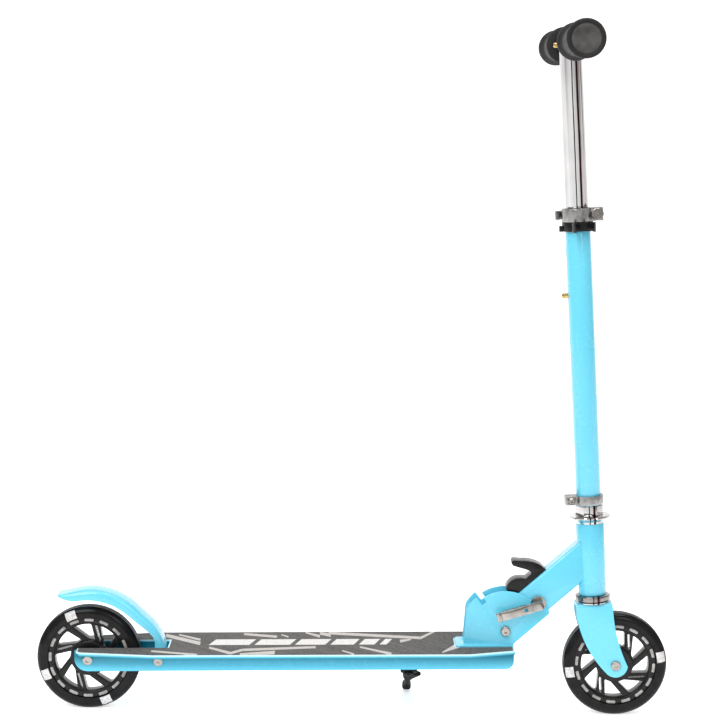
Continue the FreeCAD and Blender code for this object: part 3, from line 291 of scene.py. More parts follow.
def smokyUrethane():
    # cast urethane: near black, wet gloss on the flanks, a dulled tread with fine moulding ripples
    p = Finish("smokyUrethane", (0.014, 0.013, 0.014), Roughness=0.2, IOR=1.42, Specular_IOR_Level=0.2)
    wide = p.axes()[1]
    tread = (wide * wide).near(0.000034, 0.000050, 1, 0)
    cloud = p.noise(70, 4, 0.6)
    dust = p.noise(800, 3, 0.7).near(0.5, 0.8)
    tone = p.mix(cloud.near(0.35, 0.65), (0.007, 0.006, 0.007), (0.015, 0.014, 0.014))
    tone = p.mix(tread * dust * 0.6, tone, (0.07, 0.066, 0.063))
    return p.give(Base_Color=tone, Roughness=(cloud.near(0.3, 0.7, 0.11, 0.19) + tread * 0.3),
                  Normal=p.bump(p.noise(300, 3, 0.5) + p.noise(1800, 1) * 0.3, 0.00012, 0.35))


def blackNylon(name="blackNylon", shine=0.26, rough=0.0):
    # moulded glass-filled nylon: fine spark-eroded grain and a slight flow cloud
    p = Finish(name, (0.010, 0.010, 0.011), Roughness=0.2, Specular_IOR_Level=shine)
    cloud = p.noise(110, 4, 0.6)
    grain = p.cells(2200) + p.noise(1400, 3, 0.6)
    tone = p.mix(cloud.near(0.3, 0.7), (0.005, 0.005, 0.005), (0.013, 0.012, 0.012))
    return p.give(Base_Color=tone, Roughness=cloud.near(0.3, 0.7, 0.14 + rough, 0.24 + rough),
                  Normal=p.bump(grain, 0.00008, 0.4))


def keyUrethane():
    # frosted keys that show through the core's slots
    p = Finish("keyUrethane", (0.50, 0.49, 0.48), Roughness=0.4)
    cloud = p.noise(260, 3, 0.6)
    tone = p.mix(cloud.near(0.3, 0.7), (0.30, 0.28, 0.265), (0.52, 0.49, 0.47))
    return p.give(Base_Color=tone, Normal=p.bump(cloud, 0.0001, 0.3))


def lightModule():
    # white light unit under clear urethane: reflector facets and a faint inner grid
    p = Finish("lightModule", (0.80, 0.82, 0.84), Roughness=0.12, Coat_Weight=0.8, Coat_Roughness=0.04)
    facets = p.cells(420, out="Color")
    shade = p.axes(facets)[0]
    tone = p.mix(shade.near(0, 1), (0.50, 0.48, 0.47), (0.80, 0.77, 0.76))
    return p.give(Base_Color=tone, Normal=p.bump(p.cells(420), 0.0003, 0.5))


def blackFoam():
    # closed-cell foam sleeve: skin with pores of about 0.4 mm; the dished end caps are paler satin inside their
    # rings, where the distance from the bar's line is under 15 mm and |y| is over 160 mm
    p = Finish("blackFoam", (0.030, 0.030, 0.032), Roughness=0.7, Specular_IOR_Level=0.3)
    pores = p.cells(2100)
    lumps = p.noise(380, 4, 0.6)
    x, y, z = p.axes()
    out = (x - gripMiddle[0]) * (x - gripMiddle[0]) + (z - gripMiddle[1]) * (z - gripMiddle[1])
    disc = out.near(0.000225, 0.000256, 1, 0) * (y * y).near(0.0256, 0.0258)
    tone = p.mix(pores.near(0.0, 0.55, 1, 0) * 0.8, (0.014, 0.013, 0.013), (0.004, 0.004, 0.004))
    tone = p.mix(lumps.near(0.5, 0.72, 0, 0.35), tone, (0.026, 0.025, 0.024))
    tone = p.mix(disc, tone, p.mix(p.noise(70, 2, 0.5).near(0.35, 0.65), (0.040, 0.036, 0.035),
                                   (0.085, 0.080, 0.078)))
    return p.give(Base_Color=tone, Roughness=lumps.near(0.3, 0.7, 0.45, 0.68),
                  Normal=p.bump((pores.near(0, 0.6) + lumps * 0.6) * (1 - disc * 0.9), 0.0003, 0.5))


def blackRubber():
    # soft moulded rubber with a matt bloom
    p = Finish("blackRubber", (0.022, 0.022, 0.022), Roughness=0.7)
    bloom = p.noise(300, 4, 0.65)
    tone = p.mix(bloom.near(0.4, 0.7), (0.018, 0.018, 0.018), (0.055, 0.053, 0.051))
    return p.give(Base_Color=tone, Roughness=bloom.near(0.3, 0.7, 0.6, 0.8),
                  Normal=p.bump(p.noise(1600, 3, 0.6), 0.00012, 0.4))


def brass():
    # turned brass: fine rings and a slight tarnish
    p = Finish("brass", (0.72, 0.52, 0.20), Metallic=1.0, Roughness=0.2)
    tarnish = p.noise(500, 4, 0.6)
    tone = p.mix(tarnish.near(0.4, 0.7), (0.78, 0.58, 0.24), (0.52, 0.36, 0.14))
    return p.give(Base_Color=tone, Roughness=tarnish.near(0.3, 0.7, 0.12, 0.34),
                  Normal=p.bump(tarnish, 0.00004, 0.2))


finishes = {"blue_paint": bluePaint(), "grip_tape": gritTape(), "chrome": chrome(), "cast_alloy": castAlloy(),
            "zinc_steel": zincSteel(), "smoky_urethane": smokyUrethane(), "black_nylon": blackNylon(),
            "key_urethane": keyUrethane(), "light_module": lightModule(), "black_foam": blackFoam(),
            "black_rubber": blackRubber(), "brass": brass()}
slotOf = {part["node"]: part["material_slot"] for part in frame["record"]["subparts"]}
for name, thing in nodes.items():
    thing.data.materials.clear()
    thing.data.materials.append(finishes[slotOf[name]])
# blue paint with painted shade under the deck's lip; the plate's paint also has a painted highlight on its top edge
channelShadePaint = bluePaint("channelShadePaint", "channel")
plateShadeAndHighlightPaint = bluePaint("plateShadeAndHighlightPaint", "plate")
# a darker copy of the chrome for the lower cup and the lever's folded band: its darker tone is painted shade in their
# reflections
shadedChrome = chrome("shadedChrome", (0.36, 0.335, 0.32), (0.16, 0.145, 0.135))
standBlack = blackNylon("standBlack", 0.04, 0.35)
print("finishes given to", len(nodes), "nodes")


# softened copies: the solid's own shape with its pressed and moulded edges rounded

softened = {
    # node: (edge radius in mm, steps, corners sharper than this many degrees are rounded)
    "deck_plate": (0.9, 3, 40), "deck_channel": (1.2, 3, 40), "fold_bracket": (0.9, 3, 38),
    "down_tube": (0.8, 2, 40), "head_tube": (0.5, 2, 40), "fork": (1.1, 3, 38), "steering_tube": (0.4, 2, 40),
    "lower_clamp": (0.9, 3, 38), "upper_clamp": (1.1, 3, 38), "clamp_lever": (0.6, 2, 38),
    "latch_lever": (0.45, 2, 38), "latch_handle": (1.9, 4, 34), "latch_nut": (0.4, 2, 38),
    "pivot_nut": (0.4, 2, 38), "brake_nut": (0.4, 2, 38), "headset_nut": (0.8, 2, 38),
    "grip_clip": (0.8, 3, 38), "lower_cup": (0.8, 3, 38),
    "stand_bolt": (0.4, 2, 38), "stand_block": (0.8, 2, 38), "t_bar": (0.5, 2, 38),
}
# these copies have a finish of their own instead of their slot's: painted shade and a painted highlight on the
# channel and the plate, and on the lower cup a darker chrome whose darkness is painted shade
ownFinish = {"deck_channel": channelShadePaint, "deck_plate": plateShadeAndHighlightPaint, "lower_cup": shadedChrome,
             "stand_bolt": standBlack, "stand_block": standBlack}
bodyOf = {}
for bodyName, members in frame["record"]["behaviour"]["bodies"].items():
    for member in members:
        bodyOf[member] = bodyName


def smoothed(mesh):
    mesh.polygons.foreach_set("use_smooth", np.ones(len(mesh.polygons), bool))
    return mesh


def mergedCopy(name):
    # the node's loose triangles welded at their corners, flat neighbours joined into one face
    copied = bmesh.new()
    copied.from_mesh(nodes[name].data)
    bmesh.ops.remove_doubles(copied, verts=copied.verts, dist=2e-6)
    bmesh.ops.dissolve_degenerate(copied, edges=copied.edges, dist=1e-6)
    bmesh.ops.dissolve_limit(copied, angle_limit=math.radians(0.6), verts=copied.verts, edges=copied.edges,
                             use_dissolve_boundaries=False)
    mesh = bpy.data.meshes.new(name + "_soft")
    copied.to_mesh(mesh)
    copied.free()
    return mesh


def addPiece(name, mesh, body, slot, *stoodFor, finish=None):
    # puts a finished mesh in the scene: it moves with its body and stands for those nodes
    mesh.materials.clear()
    mesh.materials.append(finish or finishes[slot])
    made = bpy.data.objects.new(name, mesh)
    bpy.context.scene.collection.objects.link(made)
    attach(made, body)
    if stoodFor:
        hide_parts(*stoodFor)
    return made


def soften(name, radius, steps, corner):
    # a copy of the node with every edge sharper than the corner rounded by the radius
    mesh = smoothed(mergedCopy(name))
    made = addPiece(name + "_soft", mesh, bodyOf[name], slotOf[name], name, finish=ownFinish.get(name))
    bend = made.modifiers.new("edges", "BEVEL")
    bend.width = radius / 1000
    bend.segments = steps
    bend.limit_method = "ANGLE"
    bend.angle_limit = math.radians(corner)
    bend.harden_normals = True
    bend.miter_outer = "MITER_ARC"


for name, (radius, steps, corner) in softened.items():
    soften(name, radius, steps, corner)
print("softened", len(softened), "nodes")


# surfaces made point by point

def gridMesh(name, points, loopAlong=False, poles=(False, False)):
    # points[i, j] joined into quads, every row closed into a ring; a pole closes the ring at that end to one point
    rows, cols = points.shape[:2]
    index = np.arange(rows * cols).reshape(rows, cols)
    ahead = np.roll(index, -1, 1)
    if loopAlong:
        quads = np.stack([index, ahead, np.roll(ahead, -1, 0), np.roll(index, -1, 0)], 2)
    else:
        quads = np.stack([index[:-1], ahead[:-1], ahead[1:], index[1:]], 2)
    faces = quads.reshape(-1, 4).tolist()
    verts = points.reshape(-1, 3)
    extra = []
    for end, closed in enumerate(poles):
        if closed:
            ring = index[-1 if end else 0]
            tip = len(verts) + len(extra)
            extra.append(points[-1 if end else 0].mean(0))
            after = np.roll(ring, -1)
            fan = np.stack([ring, after, np.full(cols, tip)] if end else [after, ring, np.full(cols, tip)], 1)
            faces += fan.tolist()
    if extra:
        verts = np.concatenate([verts, np.array(extra)])
    mesh = bpy.data.meshes.new(name)
    mesh.from_pydata(verts.tolist(), [], faces)
    return smoothed(mesh)


def outward(mesh):
    # turns every closed shell's faces outwards
    made = bmesh.new()
    made.from_mesh(mesh)
    bmesh.ops.remove_doubles(made, verts=made.verts, dist=1e-7)
    bmesh.ops.recalc_face_normals(made, faces=made.faces)
    made.to_mesh(mesh)
    made.free()
    return mesh


def joinMeshes(name, *meshes):
    # one mesh from several, each kept as its own shell
    made = bmesh.new()
    for mesh in meshes:
        made.from_mesh(mesh)
    joined = bpy.data.meshes.new(name)
    made.to_mesh(joined)
    made.free()
    return smoothed(joined)


def autoSmooth(thing, angle=32):
    # sharp where neighbouring faces meet at more than the angle
    mesh = thing.data
    made = bmesh.new()
    made.from_mesh(mesh)
    for edge in made.edges:
        edge.smooth = len(edge.link_faces) == 2 and edge.calc_face_angle(0) < math.radians(angle)
    made.to_mesh(mesh)
    made.free()
    return thing


def inFrame(points, origin, xWay, yWay, zWay):
    # local (x, y, z) in mm becomes origin + x xWay + y yWay + z zWay in metres
    points = np.asarray(points, float) / 1000
    return (np.asarray(origin, float) + points[..., :1] * np.asarray(xWay, float)
            + points[..., 1:2] * np.asarray(yWay, float) + points[..., 2:3] * np.asarray(zWay, float))


def deckFrame(points):
    # x along the deck, y across it to the left, z up from the rear axle's line
    c, s = math.cos(deckTilt), math.sin(deckTilt)
    return inFrame(points, deckOrigin, (c, 0, s), (0, 1, 0), (-s, 0, c))


def steerFrame(points):
    # u forward and w up along the leaning steering axis, y to the left
    c, s = math.cos(rake), math.sin(rake)
    return inFrame(points, steerOrigin, (c, 0, s), (0, 1, 0), (-s, 0, c))


def polyline(corners, step):
    # even points along straight lines through the corners, about one step apart
    corners = np.asarray(corners, float)
    spans = np.linalg.norm(np.diff(corners, axis=0), axis=1)
    reach = np.concatenate([[0], np.cumsum(spans)])
    at = np.linspace(0, reach[-1], max(int(reach[-1] / step), 2) + 1)
    return np.stack([np.interp(at, reach, corners[:, n]) for n in range(corners.shape[1])], 1)


# brake hood: pressed sheet with rounded shoulders, a spoon tail and a narrow foot

hoodLook = {"half": 16.5, "sheet": 1.5, "shoulder": 7.0, "stations": 96, "bend": 10, "pivot": (81.3, -1.7),
            "toe": [(8.3, 3.0), (8.3, 13.1)], "heel": [(-7.4, 3.0), (-3.0, 14.3), (-4.6, 26)],  # from the pivot
            "noseBend": 66, "arch": 81.4, "archSpan": (38.4, 88.7), "skirt": 69.5, "skirtSpan": (53.6, 101.5),
            "tail": [(-8, 80.4), (-18, 78.0), (-27, 75.9), (-34.2, 74.5)],
            "tailUnder": [(-20.5, 68.4), (-27, 70.2), (-34.0, 73.0)], "tailFrom": 0.86, "tailDrawn": 4.2,
            "crown": 0.3, "tab": 7.5, "tabTop": 5.2}


def arcPoints(radius, first, last, count):
    # even points on a circle about the origin between two angles in degrees
    turn = np.radians(np.linspace(first, last, count))
    return np.stack([radius * np.cos(turn), radius * np.sin(turn)], 1)


def bulge(a, b, radius, count):
    # an arc of the radius from a to b, its middle to the left of travel
    a, b = np.asarray(a, float), np.asarray(b, float)
    half = (b - a) / 2
    reach = math.sqrt(max(radius ** 2 - half @ half, 0))
    left = np.array([-half[1], half[0]]) / np.linalg.norm(half)
    middle = a + half + left * reach
    first = math.atan2(*(a - middle)[::-1])
    last = math.atan2(*(b - middle)[::-1])
    if last < first:
        last += 2 * math.pi
    turn = np.linspace(first, last, count)
    return middle + radius * np.stack([np.cos(turn), np.sin(turn)], 1)


def makeHood():
    # the outer line runs from the tail's tip over the wheel to the toe; the skirt line runs below it. A section
    # at each station is a U: skirt, a quarter circle shoulder, flat top, shoulder, skirt, and back inside
    look = hoodLook
    px, pz = look["pivot"]
    toeFoot, toe = [(px + x, z) for x, z in look["toe"]]
    arch = arcPoints(look["arch"], *look["archSpan"], 30)
    top = np.concatenate([[toeFoot], bulge(toe, arch[0], look["noseBend"], 16)[:-1], arch, look["tail"]])
    under = np.concatenate([[(px + x, z) for x, z in look["heel"]],
                            arcPoints(look["skirt"], *look["skirtSpan"], 24), look["tailUnder"]])

    def even(line, count):
        spans = np.linalg.norm(np.diff(line, axis=0), axis=1)
        reach = np.concatenate([[0], np.cumsum(spans)]) / spans.sum()
        return np.stack([np.interp(np.linspace(0, 1, count), reach, line[:, n]) for n in range(2)], 1)

    def eased(line, passes=14):
        for _ in range(passes):
            line = np.concatenate([line[:1], (line[:-2] + 2 * line[1:-1] + line[2:]) / 4, line[-1:]])
        return line

    count = look["stations"]
    top, under = eased(even(top, count)), eased(even(under, count))
    tail = np.clip((np.arange(count) / (count - 1) - look["tailFrom"]) / (1 - look["tailFrom"]), 0, 1)
    width = look["half"] - look["tailDrawn"] * (1 - np.sqrt(np.clip(1 - tail ** 2, 0, 1)))
    deep = np.linalg.norm(top - under, axis=1)
    along = (top - under) / deep[:, None]

    def shell(inset):
        # the U drawn in by the inset: (across, how far below the outer line)
        half = (width - inset)[:, None]
        bend = np.maximum(np.minimum(look["shoulder"], deep * 0.6)[:, None] - inset, 0.3)
        turn = np.linspace(0, math.pi / 2, look["bend"])[None]
        leftY = half - bend + bend * np.cos(turn)
        leftZ = inset + bend - bend * np.sin(turn)
        foot = np.maximum(deep[:, None], inset + bend + 0.05)
        steps = np.linspace(0, 1, 5)[None, :-1]
        wallZ = foot + (leftZ[:, :1] - foot) * steps
        wallY = np.repeat(half, 4, 1)
        flat = np.linspace(1, -1, 7)[None, 1:-1] * (half - bend)
        crown = look["crown"] * (1 - (flat / half) ** 2)
        y = np.concatenate([wallY, leftY, flat, -leftY[:, ::-1], -wallY[:, ::-1]], 1)
        z = np.concatenate([wallZ, leftZ, inset - crown, leftZ[:, ::-1], wallZ[:, ::-1]], 1)
        return y, z

    outY, outZ = shell(0.0)
    inY, inZ = shell(look["sheet"])
    y = np.concatenate([outY, inY[:, ::-1]], 1)
    z = np.concatenate([outZ, inZ[:, ::-1]], 1)
    spot = top[:, None] - along[:, None] * z[..., None]
    world = deckFrame(np.stack([spot[..., 0], y, spot[..., 1]], 2))
    mesh = gridMesh("hoodShell", world)
    # the two ends: strips between the outer and the inner line
    half = outY.shape[1]
    index = np.arange(y.size).reshape(y.shape)
    caps = []
    for row in (0, -1):
        outer, inner = index[row, :half], index[row, half:][::-1]
        caps.append(np.stack([outer[:-1], outer[1:], inner[1:], inner[:-1]], 1))
    faces = [list(face.vertices) for face in mesh.polygons] + np.concatenate(caps).tolist()
    closed = bpy.data.meshes.new("brake_hood_shell")
    closed.from_pydata(world.reshape(-1, 3).tolist(), [], faces)
    # the two pivot tabs: rounded ends with the bolt's hole hidden by the channel
    turn = np.linspace(0, 2 * math.pi, 49)[:-1]
    tall = np.where(np.sin(turn) > 0, look["tabTop"], look["tab"])
    ring = np.stack([look["tab"] * np.cos(turn), tall * np.sin(turn)], 1)
    levels = np.array([16.5, 16.2, 15.3, 15.0])
    grow = np.array([-0.3, 0, 0, -0.3])
    shape = (px, pz) + ring * (1 + grow[:, None, None] / look["tab"])
    tabs = []
    for side in (-1, 1):
        tab = np.concatenate([shape[..., :1], np.repeat(levels[:, None, None] * side, 48, 1), shape[..., 1:]], 2)
        tabs.append(gridMesh("hoodTab", deckFrame(tab), poles=(True, True)))
    whole = outward(joinMeshes("brake_hood_soft", closed, *tabs))
    autoSmooth(addPiece("brake_hood_soft", whole, "brake", "blue_paint", "brake_hood"), 40)


padLook = {"drop": 0.0060}


def makePad():
    # the friction pad keeps its rubbing face; its back is drawn in to meet the sheet: r less drop times its
    # share of the pad's depth
    mesh = mergedCopy("brake_pad")
    spots = np.empty(len(mesh.vertices) * 3)
    mesh.vertices.foreach_get("co", spots)
    spots = spots.reshape(-1, 3)
    hub = np.array(deckOrigin)
    radius = np.hypot(spots[:, 0] - hub[0], spots[:, 2] - hub[2])
    share = (radius - radius.min()) / (radius.max() - radius.min())
    factor = (radius - share * padLook["drop"]) / radius
    spots[:, 0] = hub[0] + (spots[:, 0] - hub[0]) * factor
    spots[:, 2] = hub[2] + (spots[:, 2] - hub[2]) * factor
    mesh.vertices.foreach_set("co", spots.ravel())
    autoSmooth(addPiece("brake_pad_soft", smoothed(mesh), "brake", slotOf["brake_pad"], "brake_pad"))


makeHood()
makePad()
print("brake hood made")


# wheel cores: two rings joined by a web of swept spokes with rounded holes

coreLook = {"hub": 20.5, "hubHalf": 11.7, "rimIn": 40.0, "rimOut": 47.4, "rimHalf": 9.5, "webHalf": 7.5,
            "openIn": 21.7, "openOut": 39.2, "sweep": 22.0, "solid": 8.5, "split": 11.0, "slit": 2.6,
            "lip": 1.5, "bearing": 11.0}


def turnedMesh(name, profile, frameOf, steps=128, poles=(False, False), loopAlong=True):
    # a profile of (radius, height) turned about the local third axis: x = r cos a, y = r sin a
    profile = np.asarray(profile, float)
    turn = np.linspace(0, 2 * math.pi, steps + 1)[:-1]
    points = np.stack([profile[:, :1] * np.cos(turn), profile[:, :1] * np.sin(turn),
                       np.repeat(profile[:, 1:2], steps, 1)], 2)
    return gridMesh(name, frameOf(points), loopAlong=loopAlong, poles=poles)


def roundedProfile(corners, radius, steps=4):
    # a closed line with each corner (x, y) or (x, y, own radius) swapped for an arc
    made = []
    count = len(corners)
    for n, corner in enumerate(corners):
        here = np.array(corner[:2], float)
        before = np.array(corners[n - 1][:2], float) - here
        after = np.array(corners[(n + 1) % count][:2], float) - here
        bend = corner[2] if len(corner) > 2 else radius
        a, b = before / np.linalg.norm(before), after / np.linalg.norm(after)
        half = math.acos(max(-1, min(1, float(a @ b)))) / 2
        reach = min(bend / math.tan(half), np.linalg.norm(before) * 0.48, np.linalg.norm(after) * 0.48)
        bend = reach * math.tan(half)
        middle = here + (a + b) / np.linalg.norm(a + b) * bend / math.sin(half)
        start, stop = here + a * reach - middle, here + b * reach - middle
        first, last = math.atan2(start[1], start[0]), math.atan2(stop[1], stop[0])
        swing = (last - first + math.pi) % (2 * math.pi) - math.pi
        turn = first + swing * np.linspace(0, 1, steps + 1)
        made.append(middle + bend * np.stack([np.cos(turn), np.sin(turn)], 1))
    return np.concatenate(made)


def softLoop(corners, spread, spacing=0.35):
    # a closed line sampled evenly, then smoothed by a bell of that width: its waves fade by exp(-2 (pi f s)^2)
    line = polyline(np.concatenate([corners, corners[:1]]), spacing)[:-1]
    wave = np.fft.fft(line[:, 0] + 1j * line[:, 1])
    rate = np.fft.fftfreq(len(line), spacing)
    line = np.fft.ifft(wave * np.exp(-2 * (math.pi * rate * spread) ** 2))
    return np.stack([line.real, line.imag], 1)


def grown(loop, distance):
    # every point moved outwards along the line's own normal
    ahead = np.roll(loop, -1, 0) - np.roll(loop, 1, 0)
    normal = np.stack([ahead[:, 1], -ahead[:, 0]], 1) / np.linalg.norm(ahead, axis=1)[:, None]
    area = (loop[:, 0] * np.roll(loop[:, 1], -1) - loop[:, 1] * np.roll(loop[:, 0], -1)).sum()
    return loop + normal * distance * (1 if area > 0 else -1)


def openings():
    # in each quarter two swept openings and a slit between them: every side leans by the sweep from the inner
    # circle to the outer, and stands half a spoke's width from the spoke's middle line
    look = coreLook
    lean = look["sweep"] / 2

    def spread(wide, radius):
        return math.degrees(math.asin(wide / 2 / radius))

    def patch(first, firstWide, second, secondWide):
        low = arcPoints(look["openIn"], second - lean - spread(secondWide, look["openIn"]),
                        first - lean + spread(firstWide, look["openIn"]), 8)
        out = arcPoints(look["openOut"], first + lean + spread(firstWide, look["openOut"]),
                        second + lean - spread(secondWide, look["openOut"]), 14)
        return np.concatenate([low, out])

    loops = []
    for quarter in range(4):
        turn = 90 * quarter
        loops.append(softLoop(patch(turn, look["solid"], turn + 45, look["split"]), 1.25))
        loops.append(softLoop(patch(turn + 45, look["split"], turn + 90, look["solid"]), 1.25))
        inner, outer = look["openIn"] + 1.6, look["openOut"] - 1.0
        ends = [(inner, 45 + turn - lean), (outer, 45 + turn + lean)]
        (x0, y0), (x1, y1) = [(r * math.cos(math.radians(a)), r * math.sin(math.radians(a))) for r, a in ends]
        way = np.array([x1 - x0, y1 - y0]) / math.hypot(x1 - x0, y1 - y0)
        aside = np.array([-way[1], way[0]]) * look["slit"] / 2
        a, b = np.array([x0, y0]), np.array([x1, y1])
        loops.append(softLoop(np.array([a - aside, b - aside, b + aside, a + aside]), 0.55, 0.3))
    return loops


def makeCore(end, hub, phase):
    # a flat web with the openings cut through it, and two turned rings; x and y in the wheel's plane turned by
    # the phase, z across it
    look = coreLook

    def place(points):
        c, s = math.cos(math.radians(phase)), math.sin(math.radians(phase))
        points = np.asarray(points, float)
        x, y, z = points[..., 0], points[..., 1], points[..., 2]
        spun = np.stack([x * c - y * s, x * s + y * c, z], -1)
        return inFrame(spun, hub, (1, 0, 0), (0, 0, 1), (0, -1, 0))

    # walls of the holes: straight through, then a rounded lip whose line grows by lip (1 - cos t)
    turn = np.linspace(0, math.pi / 2, 5)
    rise = look["webHalf"] - look["lip"] + look["lip"] * np.sin(turn)
    swell = look["lip"] * (1 - np.cos(turn))
    levels = np.concatenate([-rise[::-1], rise])
    swells = np.concatenate([swell[::-1], swell])
    meshes, edges = [], []
    for loop in openings():
        # a slit's line is short, and its lip narrower
        limit = 0.62 if len(loop) < 150 else 1.0
        wall = np.stack([np.concatenate([grown(loop, s * limit), np.full((len(loop), 1), z)], 1)
                         for s, z in zip(swells, levels)])
        meshes.append(gridMesh("coreHole", place(wall)))
        edges.append(wall[-1])
    rim, hubLine = [np.concatenate([arcPoints(radius, 0, 360, 129)[:-1], np.full((128, 1), look["webHalf"])], 1)
                    for radius in (look["rimIn"] + 2.5, look["hub"] - 2.5)]
    loops = [rim, hubLine, *edges]
    flat = np.concatenate(loops)
    faces = [list(face) for face in tessellate_polygon([[Vector(p) for p in loop.tolist()] for loop in loops])]
    for sign in (1, -1):
        sheet = bpy.data.meshes.new("coreFace")
        sheet.from_pydata(place(flat * np.array([1, 1, sign])).tolist(), [], faces)
        meshes.append(sheet)
    for loop in (rim, hubLine):
        wall = np.stack([loop * np.array([1, 1, -1]), loop])
        meshes.append(gridMesh("coreEdge", place(wall)))
    web = outward(joinMeshes("coreWeb", *meshes))
    rimLine = roundedProfile([(look["rimIn"], -look["rimHalf"], 1.6), (look["rimOut"] - 0.02, -look["rimHalf"], 0.4),
                              (look["rimOut"] - 0.02, look["rimHalf"], 0.4), (look["rimIn"], look["rimHalf"], 1.6)], 1)
    half, inner = look["hubHalf"], look["bearing"] + 0.02
    hubRing = roundedProfile([(inner, -half, 0.5), (look["hub"], -half, 1.8), (look["hub"], half, 1.8),
                              (inner, half, 0.5)], 1)
    rings = [outward(turnedMesh("coreRing", line, place)) for line in (rimLine, hubRing)]
    whole = joinMeshes(end + "_core_soft", web, *rings)
    autoSmooth(addPiece(end + "_core_soft", whole, end + "_wheel", "black_nylon", end + "_core"), 38)


makeCore("rear", joints["rear_wheel_spin"]["pos_m"], 22.4)
makeCore("front", joints["front_wheel_spin"]["pos_m"], 280.5)
print("wheel cores made")


# grips: foam sleeves with raised rings at both ends and a dished end cap

gripLook = {"inner": 56.0, "outer": 163.0, "tube": 9.65, "ring": 21.0, "waist": 15.8}
barAt = steerFrame(np.array([0.0, 0.0, barReach]))


def makeGrip(hand, sign):
    # a profile of (radius, distance out along the bar) turned about the bar; between the end rings the radius is
    # waist + 0.4 (1 - t) + 0.9 sin(pi t) + 0.16 sin(22 pi t)
    look = gripLook
    inner, outer, ring, waist = (look[word] for word in ("inner", "outer", "ring", "waist"))
    along = np.linspace(0, 1, 25)
    first, last = inner + 13, outer - 16
    body = np.stack([waist + 0.4 * (1 - along) + 0.9 * np.sin(math.pi * along) + 0.16 * np.sin(along * math.pi * 22),
                     first + (last - first) * along], 1)
    profile = [(look["tube"], inner + 0.6), (look["tube"] + 0.8, inner), (ring - 2.4, inner), (ring - 0.8, inner + 0.5),
               (ring, inner + 2), (ring, inner + 4.6), (ring - 0.7, inner + 6.4), (ring - 2.6, inner + 8.6),
               (waist + 1.2, inner + 11), *body.tolist(), (waist + 1.4, outer - 13.4), (ring - 2.2, outer - 10.4),
               (ring - 0.6, outer - 8.2), (ring, outer - 6.4), (ring, outer - 2.2), (ring - 0.6, outer - 0.8),
               (ring - 1.8, outer - 0.1), (ring - 3.0, outer), (ring - 3.6, outer - 0.5), (ring - 4.2, outer - 0.9),
               (ring - 6, outer - 0.75), (ring - 9, outer - 0.9), (ring - 13, outer - 1.5), (ring - 17, outer - 1.9),
               (ring - 20.4, outer - 2.0)]
    c, s = math.cos(rake), math.sin(rake)

    def place(points):
        points = np.asarray(points, float)
        return inFrame(points, barAt, (c, 0, s), (-s, 0, c), (0, sign, 0))

    shell = turnedMesh("gripShell", profile, place, 96, poles=(False, True), loopAlong=False)
    back = np.array([profile[0], (look["tube"], outer - 4.6), (look["tube"] - 0.4, outer - 4.2), (0.6, outer - 4.2)])
    hollow = turnedMesh("gripHollow", back, place, 96, poles=(False, True), loopAlong=False)
    whole = outward(joinMeshes(hand + "_grip_soft", shell, hollow))
    autoSmooth(addPiece(hand + "_grip_soft", whole, hand + "_handle", "black_foam", hand + "_grip"), 50)


makeGrip("right", -1)
makeGrip("left", 1)
print("grips made")


# latch lever: what its pressed strip shows on the outside

leverLook = {"tip": (0.1656, 0.1174), "root": (0.2072, 0.1297), "half": 5.2, "outer": -28.0, "inner": -24.8,
             "fold": (3.0, 6.2), "foldHalf": 5.3, "window": (33.0, 37.2), "windowHalf": 2.2}


def makeLever():
    # the cam lever's pressed strip, its folded end band and the square window by the cam, the window a block in
    # painted shade: rounded blocks laid along the line from tip to root, each between two distances along it
    look = leverLook
    tip, root = np.array(look["tip"]), np.array(look["root"])
    way = (root - tip) / np.linalg.norm(root - tip)
    length = np.linalg.norm(root - tip) * 1000

    def place(points):
        return inFrame(points, (tip[0], 0, tip[1]), (way[0], 0, way[1]), (-way[1], 0, way[0]), (0, 1, 0))

    def block(name, first, last, low, high, outer, inner, bend):
        flat = roundedProfile([(first, low), (last, low), (last, high), (first, high)], bend, 5)
        middle = flat.mean(0)
        levels = np.array([outer, outer + 0.12, outer + 0.35, inner - 0.1, inner])
        shrink = np.array([0.35, 0.12, 0.0, 0.0, 0.1])
        spans = np.array([last - first, high - low]) / 2
        rings = middle + (flat - middle)[None] * (1 - shrink[:, None, None] / spans)
        points = np.concatenate([rings, np.repeat(levels[:, None, None], len(flat), 1)], 2)
        return outward(gridMesh(name, place(points), poles=(True, True)))

    outer, inner = look["outer"], look["inner"]
    # the window block takes the channel's shaded paint, at this height wholly its dark lip tone: painted shade for what
    # shows through the window
    parts = [("lever_strip", (0, length), look["half"], outer, 1.2, None),
             ("lever_fold", look["fold"], look["foldHalf"], outer - 0.35, 0.5, shadedChrome),
             ("lever_window_shade", look["window"], look["windowHalf"], outer - 0.12, 0.6, channelShadePaint)]
    for name, (first, last), half, face, bend, finish in parts:
        mesh = block(name, first, last, -half, half, face, inner, bend)
        autoSmooth(addPiece(name, mesh, bodyOf["latch_lever"], slotOf["latch_lever"], finish=finish), 40)


makeLever()
print("lever made")


# keys: frosted blocks that lock the tyre to the core, bent round with its rim

keyLook = {"count": 16, "middle": 44.9, "tall": 3.5, "long": 10.6, "half": 9.85, "bend": 1.0,
           "turn": {"rear": 10.7, "front": -4.0}}


